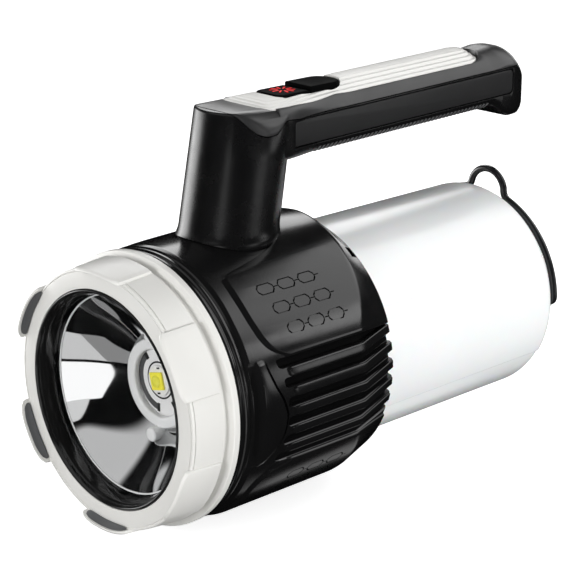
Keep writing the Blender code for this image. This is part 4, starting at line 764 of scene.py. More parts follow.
class LAMP_OT_bezel(bpy.types.Operator):
    """Adds the pale bezel with its six raised lugs"""
    bl_idname = "lamp.add_bezel"
    bl_label = "Bezel"

    def execute(self, context):
        sizes = context.scene.lamp_head
        look = moulded("bezel_plastic", context.scene.lamp_finishes.bezel)
        front_radius = BEZEL_FRONT_RADIUS
        groove_radius = BEZEL_REAR_RADIUS - 0.0014
        thread = THREAD_RADIUS + 0.0003
        shell = lathed([
            (0, BEZEL_BORE, 0.0002), (0.0003, 0.0457, 0.0001), (0.0006, 0.0458, 0.0001),
            (0.0006, 0.0460, 0.0001), (0.0003, 0.0461, 0.0001), (0.0004, front_radius, sizes.edge),
            (0.0012, front_radius + 0.0001), (0.0013, front_radius - 0.0002),
            (0.0015, front_radius - 0.0002), (0.0016, front_radius + 0.0001),
            (BEZEL_LENGTH, BEZEL_REAR_RADIUS, 0.0004), (BEZEL_LENGTH + 0.0008, groove_radius, 0.0003),
            (GROOVE_END, groove_radius, 0.0003), (GROOVE_END + 0.0008, FLANGE_RADIUS, 0.0005),
            (BEZEL_REAR, FLANGE_RADIUS, 0.0004), (BEZEL_REAR, thread, 0.0002), (THREAD_FRONT, thread),
            (THREAD_FRONT, BEZEL_BORE),
        ], 288, closed=True)
        shell = solid("bezel_shell", shell, placed=False)
        outer = front_radius + PAD_RISE
        inner = outer - LUG_WALL
        raised = BEZEL_REAR_RADIUS + PAD_RISE
        places = [step / PAD_STATIONS for step in range(PAD_STATIONS + 1)]
        places[1] = 0.012
        places[-2] = 0.988
        stations = []
        for step, place in enumerate(places):
            drop = {0: 0.0005, 1: 0.00012}.get(min(step, PAD_STATIONS - step), 0)
            front = -LUG_REACH * lug_share(place)
            stations.append((PAD_TURN + PAD_SWEEP * (place - 0.5), [
                (front, inner, 0.0003), (front, outer - 0.0007 - drop, 0.0003),
                (front + 0.0007, outer - drop, 0.0004), (BEZEL_LENGTH - 0.0006, raised - drop, 0.0006),
                (BEZEL_LENGTH - 0.0002, BEZEL_REAR_RADIUS - PAD_RISE), (0.0020, front_radius - PAD_RISE),
                (0.0020, inner),
            ]))
        pads = solid("bezel_pads", swept_round(stations), placed=False)
        count = sizes.lug_count
        grow(pads, turn_repeat_tree(), look, count=count, turn=(0, math.tau / count, 0))
        bezel = put_down(gather("bezel_shaped", shell, pads))
        dress(bezel, look, nodes=("bezel",), angle=28)
        return {"FINISHED"}


class LAMP_OT_lug_pads(bpy.types.Operator):
    """Adds a dark grey pad inside each lug, which paints in the shade on the lugs' inner faces"""
    bl_idname = "lamp.add_lug_pads"
    bl_label = "Lug pads"

    def execute(self, context):
        # The pads' dark grey is painted shade on the lugs' inner faces
        look = moulded("lug_pad_rubber")
        outer = BEZEL_FRONT_RADIUS + PAD_RISE - LUG_WALL - 0.00005
        stations = []
        for step in range(SHADE_PAD_STATIONS + 1):
            place = step / SHADE_PAD_STATIONS
            share = lug_share(place)
            tip = -(LUG_REACH - 0.0009) * share
            stations.append((PAD_TURN + SHADE_PAD_SWEEP * (place - 0.5), [
                (-0.00005, outer), (tip, outer, 0.00005), (tip, outer - 0.0001 * share, 0.00005),
                (tip * 0.60, outer - 0.0005 * share, 0.0002),
                (-0.0004 * share, outer - 0.0013 * share, 0.0002), (-0.00005, outer - 0.0014 * share),
            ]))
        pads = solid("lug_pads_painted_shade", swept_round(stations), placed=False)
        count = context.scene.lamp_head.lug_count
        grow(pads, turn_repeat_tree(), look, count=count, turn=(0, math.tau / count, 0))
        nodes = ["lug_pad_%d" % number for number in range(1, 7)]
        dress(put_down(pads), look, nodes=nodes, angle=28)
        return {"FINISHED"}


class LAMP_OT_lens(bpy.types.Operator):
    """Adds the gloss black lens ring and the clear lens in it"""
    bl_idname = "lamp.add_lens"
    bl_label = "Lens and ring"

    def execute(self, context):
        mouth = OPENING_RADIUS
        ring = lathed([
            (0, mouth, 0.0001), (-0.0003, mouth - 0.0003, 0.0001), (-0.0003, mouth - 0.0007, 0.0002),
            (0.0007, mouth - 0.0014, 0.0002), (0.0014, mouth - 0.0014, 0.0002),
            (0.0021, mouth - 0.0019, 0.0003), (0.0059, mouth - 0.0030, 0.0002), (0.0059, RING_BORE),
            (LENS_REAR, RING_BORE), (LENS_REAR, mouth),
        ], 288, closed=True)
        dress(solid("lens_ring_shaped", ring), moulded("lens_ring_gloss"), nodes=("lens_ring",),
              angle=28)
        front = LENS_REAR - LENS_THICKNESS
        lens = lathed([(front, 0), (front, LENS_RADIUS, 0.0003), (LENS_REAR, LENS_RADIUS, 0.0002),
                       (LENS_REAR, 0)], 192)
        clear = moulded("lens_clear", Alpha=0.05)
        clear.surface_render_method = "BLENDED"
        dress(solid("lens_disc", lens), clear, nodes=("lens",))
        return {"FINISHED"}


def bowl_radius(share):
    return RIM_RADIUS + (THROAT_RADIUS - RIM_RADIUS) * share + BOWL_BULGE * math.sin(math.pi * share)


def post(side, radius, front, rear, dome=0.0):
    shape = lathed([(front, 0), (front, radius, dome), (rear, radius), (rear, 0)], 40, curve=6)
    return moved(shape, Matrix.Translation((0, 0, side * BOSS_OFFSET)))


class LAMP_OT_reflector(bpy.types.Operator):
    """Adds the mirror bowl with the two notches at its throat, and a pale matt ring along its lip that paints
    in the lip's bright highlight
    """
    bl_idname = "lamp.add_reflector"
    bl_label = "Reflector"

    def execute(self, context):
        shares = [step / BOWL_STATIONS for step in range(BOWL_STATIONS + 1)]
        inner = [(RIM_FRONT + REFLECTOR_DEPTH * share, bowl_radius(share)) for share in shares]
        outer = [(y, radius + BOWL_WALL) for y, radius in inner[6:]]
        rim = [(RIM_FRONT + 0.0012, BOWL_SEAT_RADIUS), (RIM_FRONT, BOWL_SEAT_RADIUS)]
        bowl = solid("reflector_bowl", turned(inner + outer[::-1] + rim, 288))
        posts = [post(side, NOTCH_RADIUS, RIM_FRONT + 0.0003, 0.0300) for side in (1, -1)]
        combine(bowl, "DIFFERENCE", solid("notches", joined(*posts)))
        dress(bowl, moulded("reflector_chrome", Metallic=1.0), nodes=("reflector",),
              angle=35)
        # A pale matt ring on the lip: a painted highlight in place of the chrome lip's reflection
        front = RIM_FRONT - 0.0001
        rear = RIM_FRONT + 0.0006
        lip_highlight = lathed([(front, RIM_RADIUS + 0.0002), (front, RIM_RADIUS - 0.0003, 0.0002),
                       (rear, RIM_RADIUS - 0.0003, 0.0002), (rear, RIM_RADIUS + 0.0002)], 240, closed=True)
        dress(solid("painted_highlight_rim_ring", lip_highlight), moulded("painted_highlight_lip"))
        return {"FINISHED"}


# A printed arc on the light board. Its rise is how far it stands off the board.
def arc_plate(inner, outer, first, last, rise=PRINT_RISE, steps=48):
    front = BOARD_FRONT - rise
    rear = BOARD_FRONT + PRINT_SINK
    rings = []
    for step in range(steps + 1):
        turn = first + (last - first) * step / steps
        outline = ((front, inner), (front, outer), (rear, outer), (rear, inner))
        rings.append([drum_point(y, turn, radius) for y, radius in outline])
    return lofted(rings)


class LAMP_OT_light_source(bpy.types.Operator):
    """Adds the soft gasket, the board with its printed arcs, the base, and the chip with its dome and a faint
    painted glow
    """
    bl_idname = "lamp.add_light_source"
    bl_label = "Light source"

    def execute(self, context):
        sizes = context.scene.lamp_head
        rear = BOARD_FRONT - 0.0003
        front = rear - GASKET_HEIGHT
        shapes = [lathed([(rear, GASKET_RADIUS), (front, GASKET_RADIUS, 0.0012),
                          (front, GASKET_BORE, 0.0010), (rear, GASKET_BORE)], 160, closed=True, curve=5)]
        shapes += [post(side, BOSS_RADIUS, rear - BOSS_HEIGHT, rear - 0.0003, 0.0018) for side in (1, -1)]
        dress(solid("gasket_soft", joined(*shapes)), moulded("gasket_translucent", Coat_Weight=0.8),
              nodes=("led_gasket",))

        rear = BOARD_FRONT + BOARD_THICKNESS
        board_disc = lathed([(BOARD_FRONT, 0), (BOARD_FRONT, BOARD_RADIUS, 0.0002),
                             (rear, BOARD_RADIUS, 0.0002), (rear, 0)], 160)
        dress(solid("led_board_disc", board_disc), moulded("led_board_white"), nodes=("led_board",))
        arcs = [arc_plate(0.0094, 0.0118, first, last) for first, last in ((138, 262), (-42, 82))]
        dress(solid("board_arcs", moved(joined(*arcs), CHIP_PLACE)), moulded("board_trace_grey"))
        line = moulded("board_line_black")
        lines = [arc_plate(0.0064, 0.0070, first, first + 180) for first in (0, 180)]
        for first, last in ((130, 139), (261, 268), (-50, -41), (81, 88)):
            lines.append(arc_plate(0.0090, 0.0122, first, last, PRINT_RISE + 0.00003, 6))
        dress(solid("board_lines", moved(joined(*lines), CHIP_PLACE)), line)

        base = BOARD_FRONT - BASE_RISE
        shape = lathed([(base, 0), (base, BASE_RADIUS, 0.0002), (base + 0.0006, BASE_RADIUS),
                        (base + 0.0006, 0)], 96)
        dress(solid("led_base_disc", moved(shape, CHIP_PLACE)), moulded("led_base_white"),
              nodes=("led_base",))

        turned_place = CHIP_PLACE @ Matrix.Rotation(-sizes.chip_turn, 4, "Y")
        half = sizes.chip_side / 2
        front = base - 0.0011
        shape = box_shape((-half, front, -half), (half, front + 0.0008, half))
        chip = soften(solid("led_chip_square", moved(shape, turned_place)), 0.00025, segments=3)
        glow = context.scene.lamp_finishes.glow
        # The chip's emission is a painted glow on the unlit chip, lifting its yellow in the bowl
        phosphor = moulded("led_phosphor", glow, Emission_Color=(*glow, 1), Emission_Strength=0.16)
        dress(chip, phosphor, nodes=("led_chip",))
        dome = [(front + 0.0002, 0)]
        for step in range(9):
            turn = math.pi / 2 * step / 8
            dome.append((front + 0.0001 - DOME_RISE * math.cos(turn), DOME_RADIUS * math.sin(turn)))
        dome = turned(dome + [(front + 0.0002, DOME_RADIUS)], 48, closed=False)
        # The dome's lighter yellow paints in part of its highlight; its shape and gloss are real
        dress(solid("chip_dome", moved(dome, CHIP_PLACE)), moulded("chip_dome_gloss_painted_highlight"))
        marks = []
        for x, z in ((0.0012, 0.0046), (-0.0009, -0.0046)):
            mark = box_shape((x - 0.0007, base - 0.0002, z - 0.0003), (x + 0.0007, base + 0.0002, z + 0.0003))
            marks.append(moved(mark, turned_place))
        dress(solid("base_marks", joined(*marks)), line)
        return {"FINISHED"}


# Body

# The radius of the drum's plain surface, which tapers at the rear.
def surface_radius(y):
    if y <= TAPER_START:
        return FRAME_RADIUS
    return FRAME_RADIUS + (REAR_RADIUS - FRAME_RADIUS) * (y - TAPER_START) / (BODY_REAR - TAPER_START)


# A panel over the top or the bottom of the drum, with its front edge and rear slope as the rows say.
def raised_panel(rows, side):
    low = FRAME_RADIUS - PANEL_ROOT
    end = BODY_REAR - 0.0007
    rim = surface_radius(end) + 0.0007
    first = rows[0][0]
    spots = [(first - 1.0, 0.0010), (first - 0.8, 0.0005), (first - 0.45, 0.00015)]
    angle = first
    while angle <= 90.001:
        spots.append((angle, 0))
        angle += (90 - first) / 64
    spots += [(180 - angle, drop) for angle, drop in spots[-2::-1]]
    stations = []
    for angle, drop in spots:
        near = max(first, min(angle, 180 - angle))
        front = PANEL_FRONT + PANEL_REACH * eased_row(rows, near, 1)
        slope = TAPER_START + PANEL_SLOPE_REACH * eased_row(rows, near, 2)
        top = BODY_RADIUS - drop
        stations.append((side * angle, [
            (front - PANEL_WALL * 1.9, low), (front - PANEL_WALL * 1.9, FRAME_RADIUS - 0.0004),
            (front, top, 0.0004), (slope, top, 0.0012), (end, rim - drop / 2, 0.0002),
            (end, surface_radius(end) - PANEL_ROOT), (slope, surface_radius(slope) - PANEL_ROOT),
        ]))
    return swept_round(stations)


def leaf_rear(angle):
    return LEAF_START + LEAF_BOW * eased_row(LEAF_SHARES, angle, 1)


def leaf(side):
    low = FRAME_RADIUS - PANEL_ROOT
    first = LEAF_SHARES[0][0]
    last = LEAF_SHARES[-1][0]
    stations = []
    for step in range(41):
        angle = first + (last - first) * step / 40
        rear = leaf_rear(angle)
        top = FRAME_RADIUS + (0.0005 - {0: 0.0012, 1: 0.0003}.get(min(step, 40 - step), 0))
        ledge = LEAF_START + min(0.0034, 0.45 * (rear - LEAF_START))
        stations.append((angle if side > 0 else 180 - angle, [
            (LEAF_START, low), (LEAF_START, FRAME_RADIUS - 0.0017), (ledge, top, 0.0003),
            (rear, top, 0.0003), (rear, low),
        ]))
    return swept_round(stations)


# The dark gaps in front of a leaf and behind it.
def leaf_gap(side):
    first = LEAF_SHARES[0][0] + 2
    last = LEAF_SHARES[-1][0] - 1
    before = []
    behind = []
    for step in range(33):
        share = step / 32
        angle = first + (last - first) * share
        near = min(1, 5 * min(share, 1 - share) + 0.05)
        turn = angle if side > 0 else 180 - angle
        rear = leaf_rear(angle)
        end = LEAF_START + min(0.0036, 0.5 * (rear - LEAF_START))
        floor = FRAME_RADIUS - 0.0024 * near
        outline = ((0.0256, floor), (0.0252, CUT_RADIUS), (end, CUT_RADIUS), (end, floor))
        before.append([drum_point(y, turn, radius) for y, radius in outline])
        floor = FRAME_RADIUS - 0.0013 * near
        outline = ((rear - 0.0002, floor), (rear - 0.0002, CUT_RADIUS), (rear + 0.0016, CUT_RADIUS),
                   (rear + 0.0009, floor))
        behind.append([drum_point(y, turn, radius) for y, radius in outline])
    return joined(lofted(before), lofted(behind))


# Twelve even steps from a start to the taper.
def straight_run(start):
    return [start + (TAPER_START - start) * step / 12 for step in range(1, 13)]


# Eight even steps down the taper to an end, each with its share of the way.
def taper_run(end):
    return [(TAPER_START + (end - TAPER_START) * step / 8, step / 8) for step in range(1, 9)]


def groove_strip(depth):
    start = RIB_FRONT + GROOVE_HALF_WIDTH
    stations = [(RIB_FRONT, 0.35), (RIB_FRONT + 0.0004, 0.7), (start, 1.0)]
    stations += [(y, 1.0) for y in straight_run(start)]
    stations += [(y, 1 + 0.2 * min(1, share * 2)) for y, share in taper_run(BODY_REAR + 0.004)]
    rings = []
    for y, share in stations:
        wide = GROOVE_HALF_WIDTH * share
        edge = wide + 0.0005
        corners = [
            (-edge, 0.006), (-edge, 0.00015), (-wide, -0.0005, 0.0003), (-wide * 0.9, -depth, 0.0004),
            (wide * 0.9, -depth, 0.0004), (wide, -0.0005, 0.0003), (edge, 0.00015), (edge, 0.006),
        ]
        rings.append([(x, y, z) for x, z in rounded(corners)])
    return lofted(rings)


# A near-black strip on the floor of a groove: painted shade that darkens the groove.
def groove_shade_strip(depth):
    low = -depth - 0.0004
    top = -depth + 0.0002
    start = RIB_FRONT + 0.0010
    stations = [RIB_FRONT + 0.0006, start, *straight_run(start)]
    stations += [y for y, _ in taper_run(BODY_REAR - 0.0004)]
    rings = []
    for y in stations:
        wide = GROOVE_SHADE_HALF_WIDTH * min(1, 0.5 + (y - RIB_FRONT) / 0.002)
        rings.append([(-wide, y, low), (-wide, y, top), (wide, y, top), (wide, y, low)])
    return lofted(rings)


def rib_strip(rise):
    front = RIB_FRONT + 0.0026
    start = front + 0.0026
    stations = [(front, 0.5, -0.0010), (front + 0.0006, 0.75, rise * 0.3), (front + 0.0015, 0.95, rise * 0.9),
                (start, 1.0, rise)]
    stations += [(y, 1.0, rise) for y in straight_run(start)]
    stations += [(y, 1.0, rise * (1 - share * 0.5)) for y, share in taper_run(BODY_REAR - 0.0007)]
    rings = []
    for y, share, top in stations:
        wide = RIB_HALF_WIDTH * share
        corners = [(-wide, -PANEL_ROOT), (-wide, top, 0.0006), (wide, top, 0.0006), (wide, -PANEL_ROOT)]
        rings.append([(x, y, z) for x, z in rounded(corners, steps=4)])
    return lofted(rings)


# One long eight-sided cell of the engraved chains.
def chain_cell():
    length = CELL_LENGTH
    loop = [(-0.0009, 0.0), (-0.0022, 0.0012), (-0.0022, length - 0.0012), (-0.0009, length),
            (0.0009, length), (0.0022, length - 0.0012), (0.0022, 0.0012), (0.0009, 0.0)]
    width = 0.00042
    count = len(loop)
    middle = Vector((0, length / 2))
    inner = []
    for x, y in loop:
        spot = Vector((x, y)) - middle
        inner.append((x - math.copysign(width, x), y - math.copysign(width, spot.y)))
    points = [(x, y, height) for height in (-MARK_DEPTH, MARK_TOP) for x, y in loop + inner]
    faces = []
    for index in range(count):
        after = (index + 1) % count
        faces.append((index, after, count + after, count + index))
        faces.append((2 * count + index, 3 * count + index, 3 * count + after, 2 * count + after))
        faces.append((index, 2 * count + index, 2 * count + after, after))
        faces.append((count + index, count + after, 3 * count + after, 3 * count + index))
    return points, faces


# The bar that links a cell to the next.
def link_bar():
    return box_shape((-0.0002, CELL_LENGTH + 0.00005, -MARK_DEPTH), (0.0002, CELL_PITCH - 0.00005, MARK_TOP))


# Rows of engraved chains on both sides of the drum. The first row's angle is in degrees.
def chain_marks(look, first, start, skew):
    marks = solid("marks", joined(chain_cell(), link_bar()), placed=False)
    grow(marks, row_repeat_tree(), look, count=CHAIN_CELLS, step=(0, CELL_PITCH, 0))
    marks.data.transform(Matrix.Translation((0, start, 0)))
    grow(marks, drum_strips_tree(), look, count=CHAIN_ROWS, first=math.radians(first),
         pitch=math.radians(MARK_PITCH), drum_radius=BODY_RADIUS, bow=0.0, bend=0.2, sweep=0.0, taper=0.0,
         skew=skew)
    mirror_copy(marks)
    tidy_mesh(marks.data)
    return marks


# The small dark slots on the crown's rear slope.
def crown_slots():
    slot = box_shape((-0.0024, 0.0925, 0.0452), (0.0024, 0.0958, 0.0530))
    place = Matrix.Rotation(math.radians(SLOT_TURN), 4, "Y")
    return mirror_copy(solid("crown_slots", moved(slot, place), placed=False))


def mirror_copy(item):
    bm = bmesh.new()
    bm.from_mesh(item.data)
    copied = bmesh.ops.duplicate(bm, geom=bm.verts[:] + bm.edges[:] + bm.faces[:])
    verts = [part for part in copied["geom"] if isinstance(part, bmesh.types.BMVert)]
    faces = [part for part in copied["geom"] if isinstance(part, bmesh.types.BMFace)]
    bmesh.ops.scale(bm, vec=(-1, 1, 1), verts=verts)
    bmesh.ops.reverse_faces(bm, faces=faces)
    bm.to_mesh(item.data)
    bm.free()
    return item


def drum_shape():
    corners = [(COLLAR_FRONT, COLLAR_BORE), (COLLAR_FRONT, COLLAR_RADIUS), (0.0119, COLLAR_RADIUS),
               (0.0119, THREAD_RADIUS), (RING_START, THREAD_RADIUS)]
    y = RING_START
    for _ in range(2):
        corners += [(y, RING_RADIUS - 0.0007, 0.0002), (y + 0.0005, RING_RADIUS, 0.0003),
                    (y + 0.0017, RING_RADIUS, 0.0003), (y + 0.0022, RING_RADIUS - 0.0007, 0.0002)]
        y += RING_PITCH
    edge = BODY_REAR - 0.0008
    return lathed(corners + [
        (y, RING_RADIUS, 0.0003), (SHOULDER_START, FRAME_RADIUS, 0.0003), (TAPER_START, FRAME_RADIUS, 0.002),
        (edge, surface_radius(edge), 0.0004), (BODY_REAR, REAR_RADIUS - 0.0008, 0.0004),
        (BODY_REAR, REAR_BORE, 0.0003), (0.0877, REAR_BORE), (0.0877, DRUM_BORE), (0.0301, DRUM_BORE),
        (0.0301, NECK_BORE), (0.0152, NECK_BORE), (0.0134, COLLAR_BORE),
    ], 300, closed=True)


class LAMP_OT_body(bpy.types.Operator):
    """Adds the black drum with its panels, grooves, ribs, marks and foot"""
    bl_idname = "lamp.add_body"
    bl_label = "Body"

    def execute(self, context):
        sizes = context.scene.lamp_body
        look = moulded("body_black", context.scene.lamp_finishes.black)
        # The near-black, barely mirroring finish of the groove strips is painted shade
        dark = moulded("groove_painted_shade", Specular_IOR_Level=0.05)
        drum = solid("drum", drum_shape(), placed=False)
        middle = math.radians(RIB_MIDDLE)
        pitch = math.radians(RIB_PITCH)
        taper = (FRAME_RADIUS - REAR_RADIUS) / (BODY_REAR - TAPER_START)
        gaps = sizes.rib_gaps
        strips = []
        for name, shape, count, finish in (("grooves", groove_strip(sizes.gap_depth), gaps, look),
                                           ("ribs", rib_strip(sizes.rib_height), gaps - 1, look),
                                           ("groove_painted_shades", groove_shade_strip(sizes.gap_depth), gaps, dark)):
            strip = solid(name, shape, placed=False)
            grow(strip, drum_strips_tree(), finish, count=count, first=middle - pitch * (count - 1) / 2,
                 pitch=pitch, drum_radius=FRAME_RADIUS, middle=middle, front=RIB_FRONT, bow=RIB_BOW,
                 spread=math.radians(RIB_PITCH * 3), bend=TAPER_START, sweep=RIB_SWEEP_RATE, taper=taper)
            strips.append(mirror_copy(strip))
        grooves, ribs, groove_shades = strips
        tidy_mesh(grooves.data)
        combine(drum, "DIFFERENCE", grooves)
        dress(put_down(groove_shades), dark)
        pieces = [drum, ribs]
        for name, rows, side, chain in (("crown", CROWN_SHARES, 1, (31.0, 0.0466, -0.0024)),
                                        ("belly", BELLY_SHARES, -1, (-54.0, 0.0440, 0.0024))):
            panel = solid(name, raised_panel(rows, side), placed=False)
            combine(panel, "DIFFERENCE", chain_marks(look, *chain))
            if name == "crown":
                for item in (panel, drum):
                    combine(item, "DIFFERENCE", crown_slots())
            pieces.append(panel)
        for name, side in (("leaf_right", 1), ("leaf_left", -1)):
            pieces.append(solid(name, leaf(side), placed=False))
            combine(drum, "DIFFERENCE", solid(name + "_gap", leaf_gap(side), placed=False))
        foot = solid("foot", box_shape((-0.009, 0.036, -0.0513), (0.009, 0.082, -0.0473)), placed=False)
        pieces.append(soften(foot, 0.0006))
        body = put_down(gather("body_drum", *pieces))
        dress(body, look, nodes=("body_shell",), angle=30)
        return {"FINISHED"}


# Lantern tail

# The cup's angles: even steps, with finer ones at the mould lines.
def diffuser_angles():
    angles = [360 * step / 200 for step in range(200)]
    for mark in (mark for pair in MOULD_LINES for mark in pair):
        angles += [(mark + off / 10) % 360 for off in range(-12, 13, 2)]
    spaced = []
    for angle in sorted(set(round(angle, 3) for angle in angles)):
        if not spaced or angle - spaced[-1] > 0.08:
            spaced.append(angle)
    return spaced


# How far the cup's side lies inward at an angle: the mould lines and the slight step underneath.
def mould_line(angle):
    groove = 0
    for pair in MOULD_LINES:
        near = min(abs((angle - mark + 180) % 360 - 180) for mark in pair)
        groove += MOULD_LINE_DEPTH * math.exp(-(near / MOULD_LINE_WIDTH) ** 2)
    under = 0.0006 if -152.0 < (angle + 180) % 360 - 180 < -28.0 else 0
    return groove + under


def cup_shape():
    fillet = DIFFUSER_FILLET
    inner = DIFFUSER_RADIUS - DIFFUSER_WALL
    bottom = DIFFUSER_END - DIFFUSER_WALL
    lip_end = DIFFUSER_FRONT + 0.0013
    outline = [(bottom, 0), (bottom, inner - fillet / 2), (bottom - fillet / 2, inner),
               (DIFFUSER_FRONT, inner), (DIFFUSER_FRONT, DIFFUSER_LIP), (lip_end, DIFFUSER_LIP),
               (lip_end, DIFFUSER_RADIUS)]
    side = len(outline) - 1
    outline += [(y, DIFFUSER_RADIUS) for y in (0.0971, 0.12, 0.15, 0.175, 0.188)]
    for step in range(13):
        turn = math.pi / 2 * step / 12
        outline.append((DIFFUSER_END - fillet + fillet * math.sin(turn),
                        DIFFUSER_RADIUS - fillet + fillet * math.cos(turn)))
    flat = len(outline) - 1
    outline += [(DIFFUSER_END, 0.030), (DIFFUSER_END, 0)]
    points = []
    faces = []
    angles = diffuser_angles()
    count = len(outline)
    for row, angle in enumerate(angles):
        cut = mould_line(angle)
        for index, (y, radius) in enumerate(outline):
            points.append(drum_point(y, angle, radius - (cut if side < index <= flat else 0)))
        here = row * count
        there = (row + 1) % len(angles) * count
        for index in range(count - 1):
            faces.append((here + index, here + index + 1, there + index + 1, there + index))
    return points, faces


# One of the two ears on the cup's rear face, with the hole for the bail's pin.
def pivot_ear(side):
    outer = BAIL_RADIUS - PIN_BEND - PIN_GAP
    near, far = sorted((side * (outer - PIN_LENGTH), side * outer))
    front = DIFFUSER_END - 0.001
    rear = BAIL_Y + PIN_RADIUS + PIN_GAP + EAR_WALL
    outline = rounded([(front, -EAR_HALF_HEIGHT), (rear, -EAR_HALF_HEIGHT, 0.0024),
                       (rear, EAR_HALF_HEIGHT, 0.0024), (front, EAR_HALF_HEIGHT)], steps=6)
    radius = PIN_RADIUS + PIN_GAP
    circle = [(BAIL_Y + radius * math.cos(math.tau * step / 32), radius * math.sin(math.tau * step / 32))
              for step in range(32)]
    ear = solid("ear", slab(outline, (near, far)))
    combine(ear, "DIFFERENCE", solid("hole", slab(circle, (near - 0.001, far + 0.001))))
    return soften(ear, 0.0003, 50)


class LAMP_OT_diffuser(bpy.types.Operator):
    """Adds the white lantern tail and the ears that carry the bail"""
    bl_idname = "lamp.add_diffuser"
    bl_label = "Lantern tail"

    def execute(self, context):
        look = moulded("diffuser_white", context.scene.lamp_finishes.white, Subsurface_Weight=0.15,
                       Subsurface_Scale=0.004, Coat_Weight=0.15, Coat_Roughness=0.10)
        tail = gather("diffuser_cup", solid("cup", cup_shape()), pivot_ear(1), pivot_ear(-1))
        dress(tail, look, nodes=("diffuser",), angle=35)
        return {"FINISHED"}


def arc_spot(angle):
    turn = math.radians(angle)
    return Vector((BAIL_RADIUS * math.cos(turn), BAIL_RADIUS * math.sin(turn)))


def loop_spot(angle):
    turn = math.radians(LOOP_ANGLE + angle)
    return arc_spot(LOOP_ANGLE) + Vector((math.cos(turn), math.sin(turn))) * LOOP_RADIUS


def bend_run(start, bend, end, steps):
    shares = [step / steps for step in range(1, steps)]
    return [start * (1 - s) ** 2 + bend * 2 * s * (1 - s) + end * s ** 2 for s in shares]


# The bail's wire runs from one pin up the arc, round the loop and down to the other pin.
def bail_line():
    corner = 4.0
    loop_corner = 24.0
    half_turn = 2 * math.degrees(math.asin(LOOP_RADIUS / BAIL_RADIUS / 2))
    meet = 90 + half_turn / 2
    near = LOOP_ANGLE - half_turn
    far = LOOP_ANGLE + half_turn
    reach = PIN_BEND + PIN_LENGTH
    line = [Vector((BAIL_RADIUS - reach, 0)), Vector((BAIL_RADIUS - PIN_BEND, 0))]
    line += bend_run(line[-1], arc_spot(0), arc_spot(corner), 8)
    line += [arc_spot(corner + (near - 2 * corner) * step / 40) for step in range(41)]
    line += bend_run(line[-1], arc_spot(near), loop_spot(-meet + loop_corner), 9)
    span = 2 * (meet - loop_corner)
    line += [loop_spot(-meet + loop_corner + span * step / 44) for step in range(45)]
    line += bend_run(line[-1], arc_spot(far), arc_spot(far + corner), 9)
    rest = 180 - corner - far - corner
    line += [arc_spot(far + corner + rest * step / 40) for step in range(41)]
    last = Vector((-(BAIL_RADIUS - PIN_BEND), 0))
    line += bend_run(line[-1], arc_spot(180), last, 8)
    return line + [last, Vector((-(BAIL_RADIUS - reach), 0))]


class LAMP_OT_bail(bpy.types.Operator):
    """Adds the folding wire bail with its hanging loop"""
    bl_idname = "lamp.add_bail"
    bl_label = "Bail"

    def execute(self, context):
        look = moulded("bail_black", Coat_Weight=0.3, Coat_Roughness=0.1)
        line = bail_line()
        mesh = bpy.data.meshes.new("bail_wire")
        mesh.from_pydata([(spot.x, BAIL_Y, spot.y) for spot in line],
                         [(index, index + 1) for index in range(len(line) - 1)], [])
        wire = bpy.data.objects.new("bail_wire", mesh)
        context.scene.collection.objects.link(wire)
        grow(wire, wire_tree(), look, wire_radius=context.scene.lamp_handle.wire_radius, sides=24)
        dress(put_down(wire), look, body="bail", nodes=("bail",), angle=50)
        return {"FINISHED"}


# Handle

# The grip climbs slightly towards its rear end.
def lift(y):
    return max(0, y - GRIP_START) * GRIP_SLOPE


def lifted(outline):
    return [(y, z + lift(y)) for y, z in outline]


def neck_middle(z):
    return NECK_FOOT_Y + (z - NECK_FOOT_Z) * math.tan(math.radians(NECK_LEAN))


def neck_loop(z, grown):
    climb = max(0, z - NECK_FOOT_Z) / (GRIP_TOP - NECK_FOOT_Z)
    scale = 1 - 0.03 * climb
    loop = []
    for step in range(NECK_STEPS):
        turn = math.tau * (step + 0.5) / NECK_STEPS
        loop.append(((NECK_HALF_WIDTH * scale + grown) * math.cos(turn),
                     neck_middle(z) + (NECK_HALF_LENGTH * scale + grown) * math.sin(turn), z))
    return loop


def dome_height(x):
    share = min(1, max(0, (abs(x) - DOME_FLAT) / DOME_RUN))
    return GRIP_TOP - DOME_FALL * (1 - math.sqrt(1 - share * share))


# The neck widens where it meets the drum, and its top is domed from side to side.
def neck_shape():
    rings = [neck_loop(NECK_FOOT_Z - 0.009, 0.0006), neck_loop(NECK_FOOT_Z + 0.0004, 0.0006)]
    for rise, flare in ((0.0009, 0.0005), (0.0014, 0.00033), (0.0020, 0.00018), (0.0028, 0.00007),
                        (0.0040, 0)):
        rings.append(neck_loop(NECK_FOOT_Z + rise, flare))
    for step in range(1, 9):
        rings.append(neck_loop(NECK_FOOT_Z + 0.0040 + 0.026 * step / 8, 0))
    for inset, drop in ((0, 0.0009), (0.00015, 0.0004), (0.0004, 0.00012), (0.0008, 0)):
        ring = []
        for x, y, z in neck_loop(GRIP_TOP, -inset):
            height = dome_height(x) - drop
            ring.append((x, y + neck_middle(height) - neck_middle(z), height))
        rings.append(ring)
    return lofted(rings, strips=True)


# The grip's section turns from square to round behind its start. This is its share of roundness.
def rounding(y):
    return min(1, max(0, (y - GRIP_START) / ROUNDING_RUN))


def grip_loop(y, half, bottom, top, run_share=1.0):
    run = GRIP_TOP_RUN * run_share
    blend = rounding(y)
    drop = 0.0060 + 0.0012 * blend
    right = [(half - 0.0028, bottom), (half - 0.0012, bottom + 0.00035), (half - 0.00035, bottom + 0.0015),
             (half, bottom + 0.0034)]
    for square, round_off in zip(SQUARE_SHARES, ROUND_SHARES):
        inward = square[0] + (round_off[0] - square[0]) * blend
        down = square[1] + (round_off[1] - square[1]) * blend
        right.append((half - run * inward, top - drop * down))
    left = [(-x, z) for x, z in reversed(right)]
    return [(x, y, z + lift(y)) for x, z in right + left]


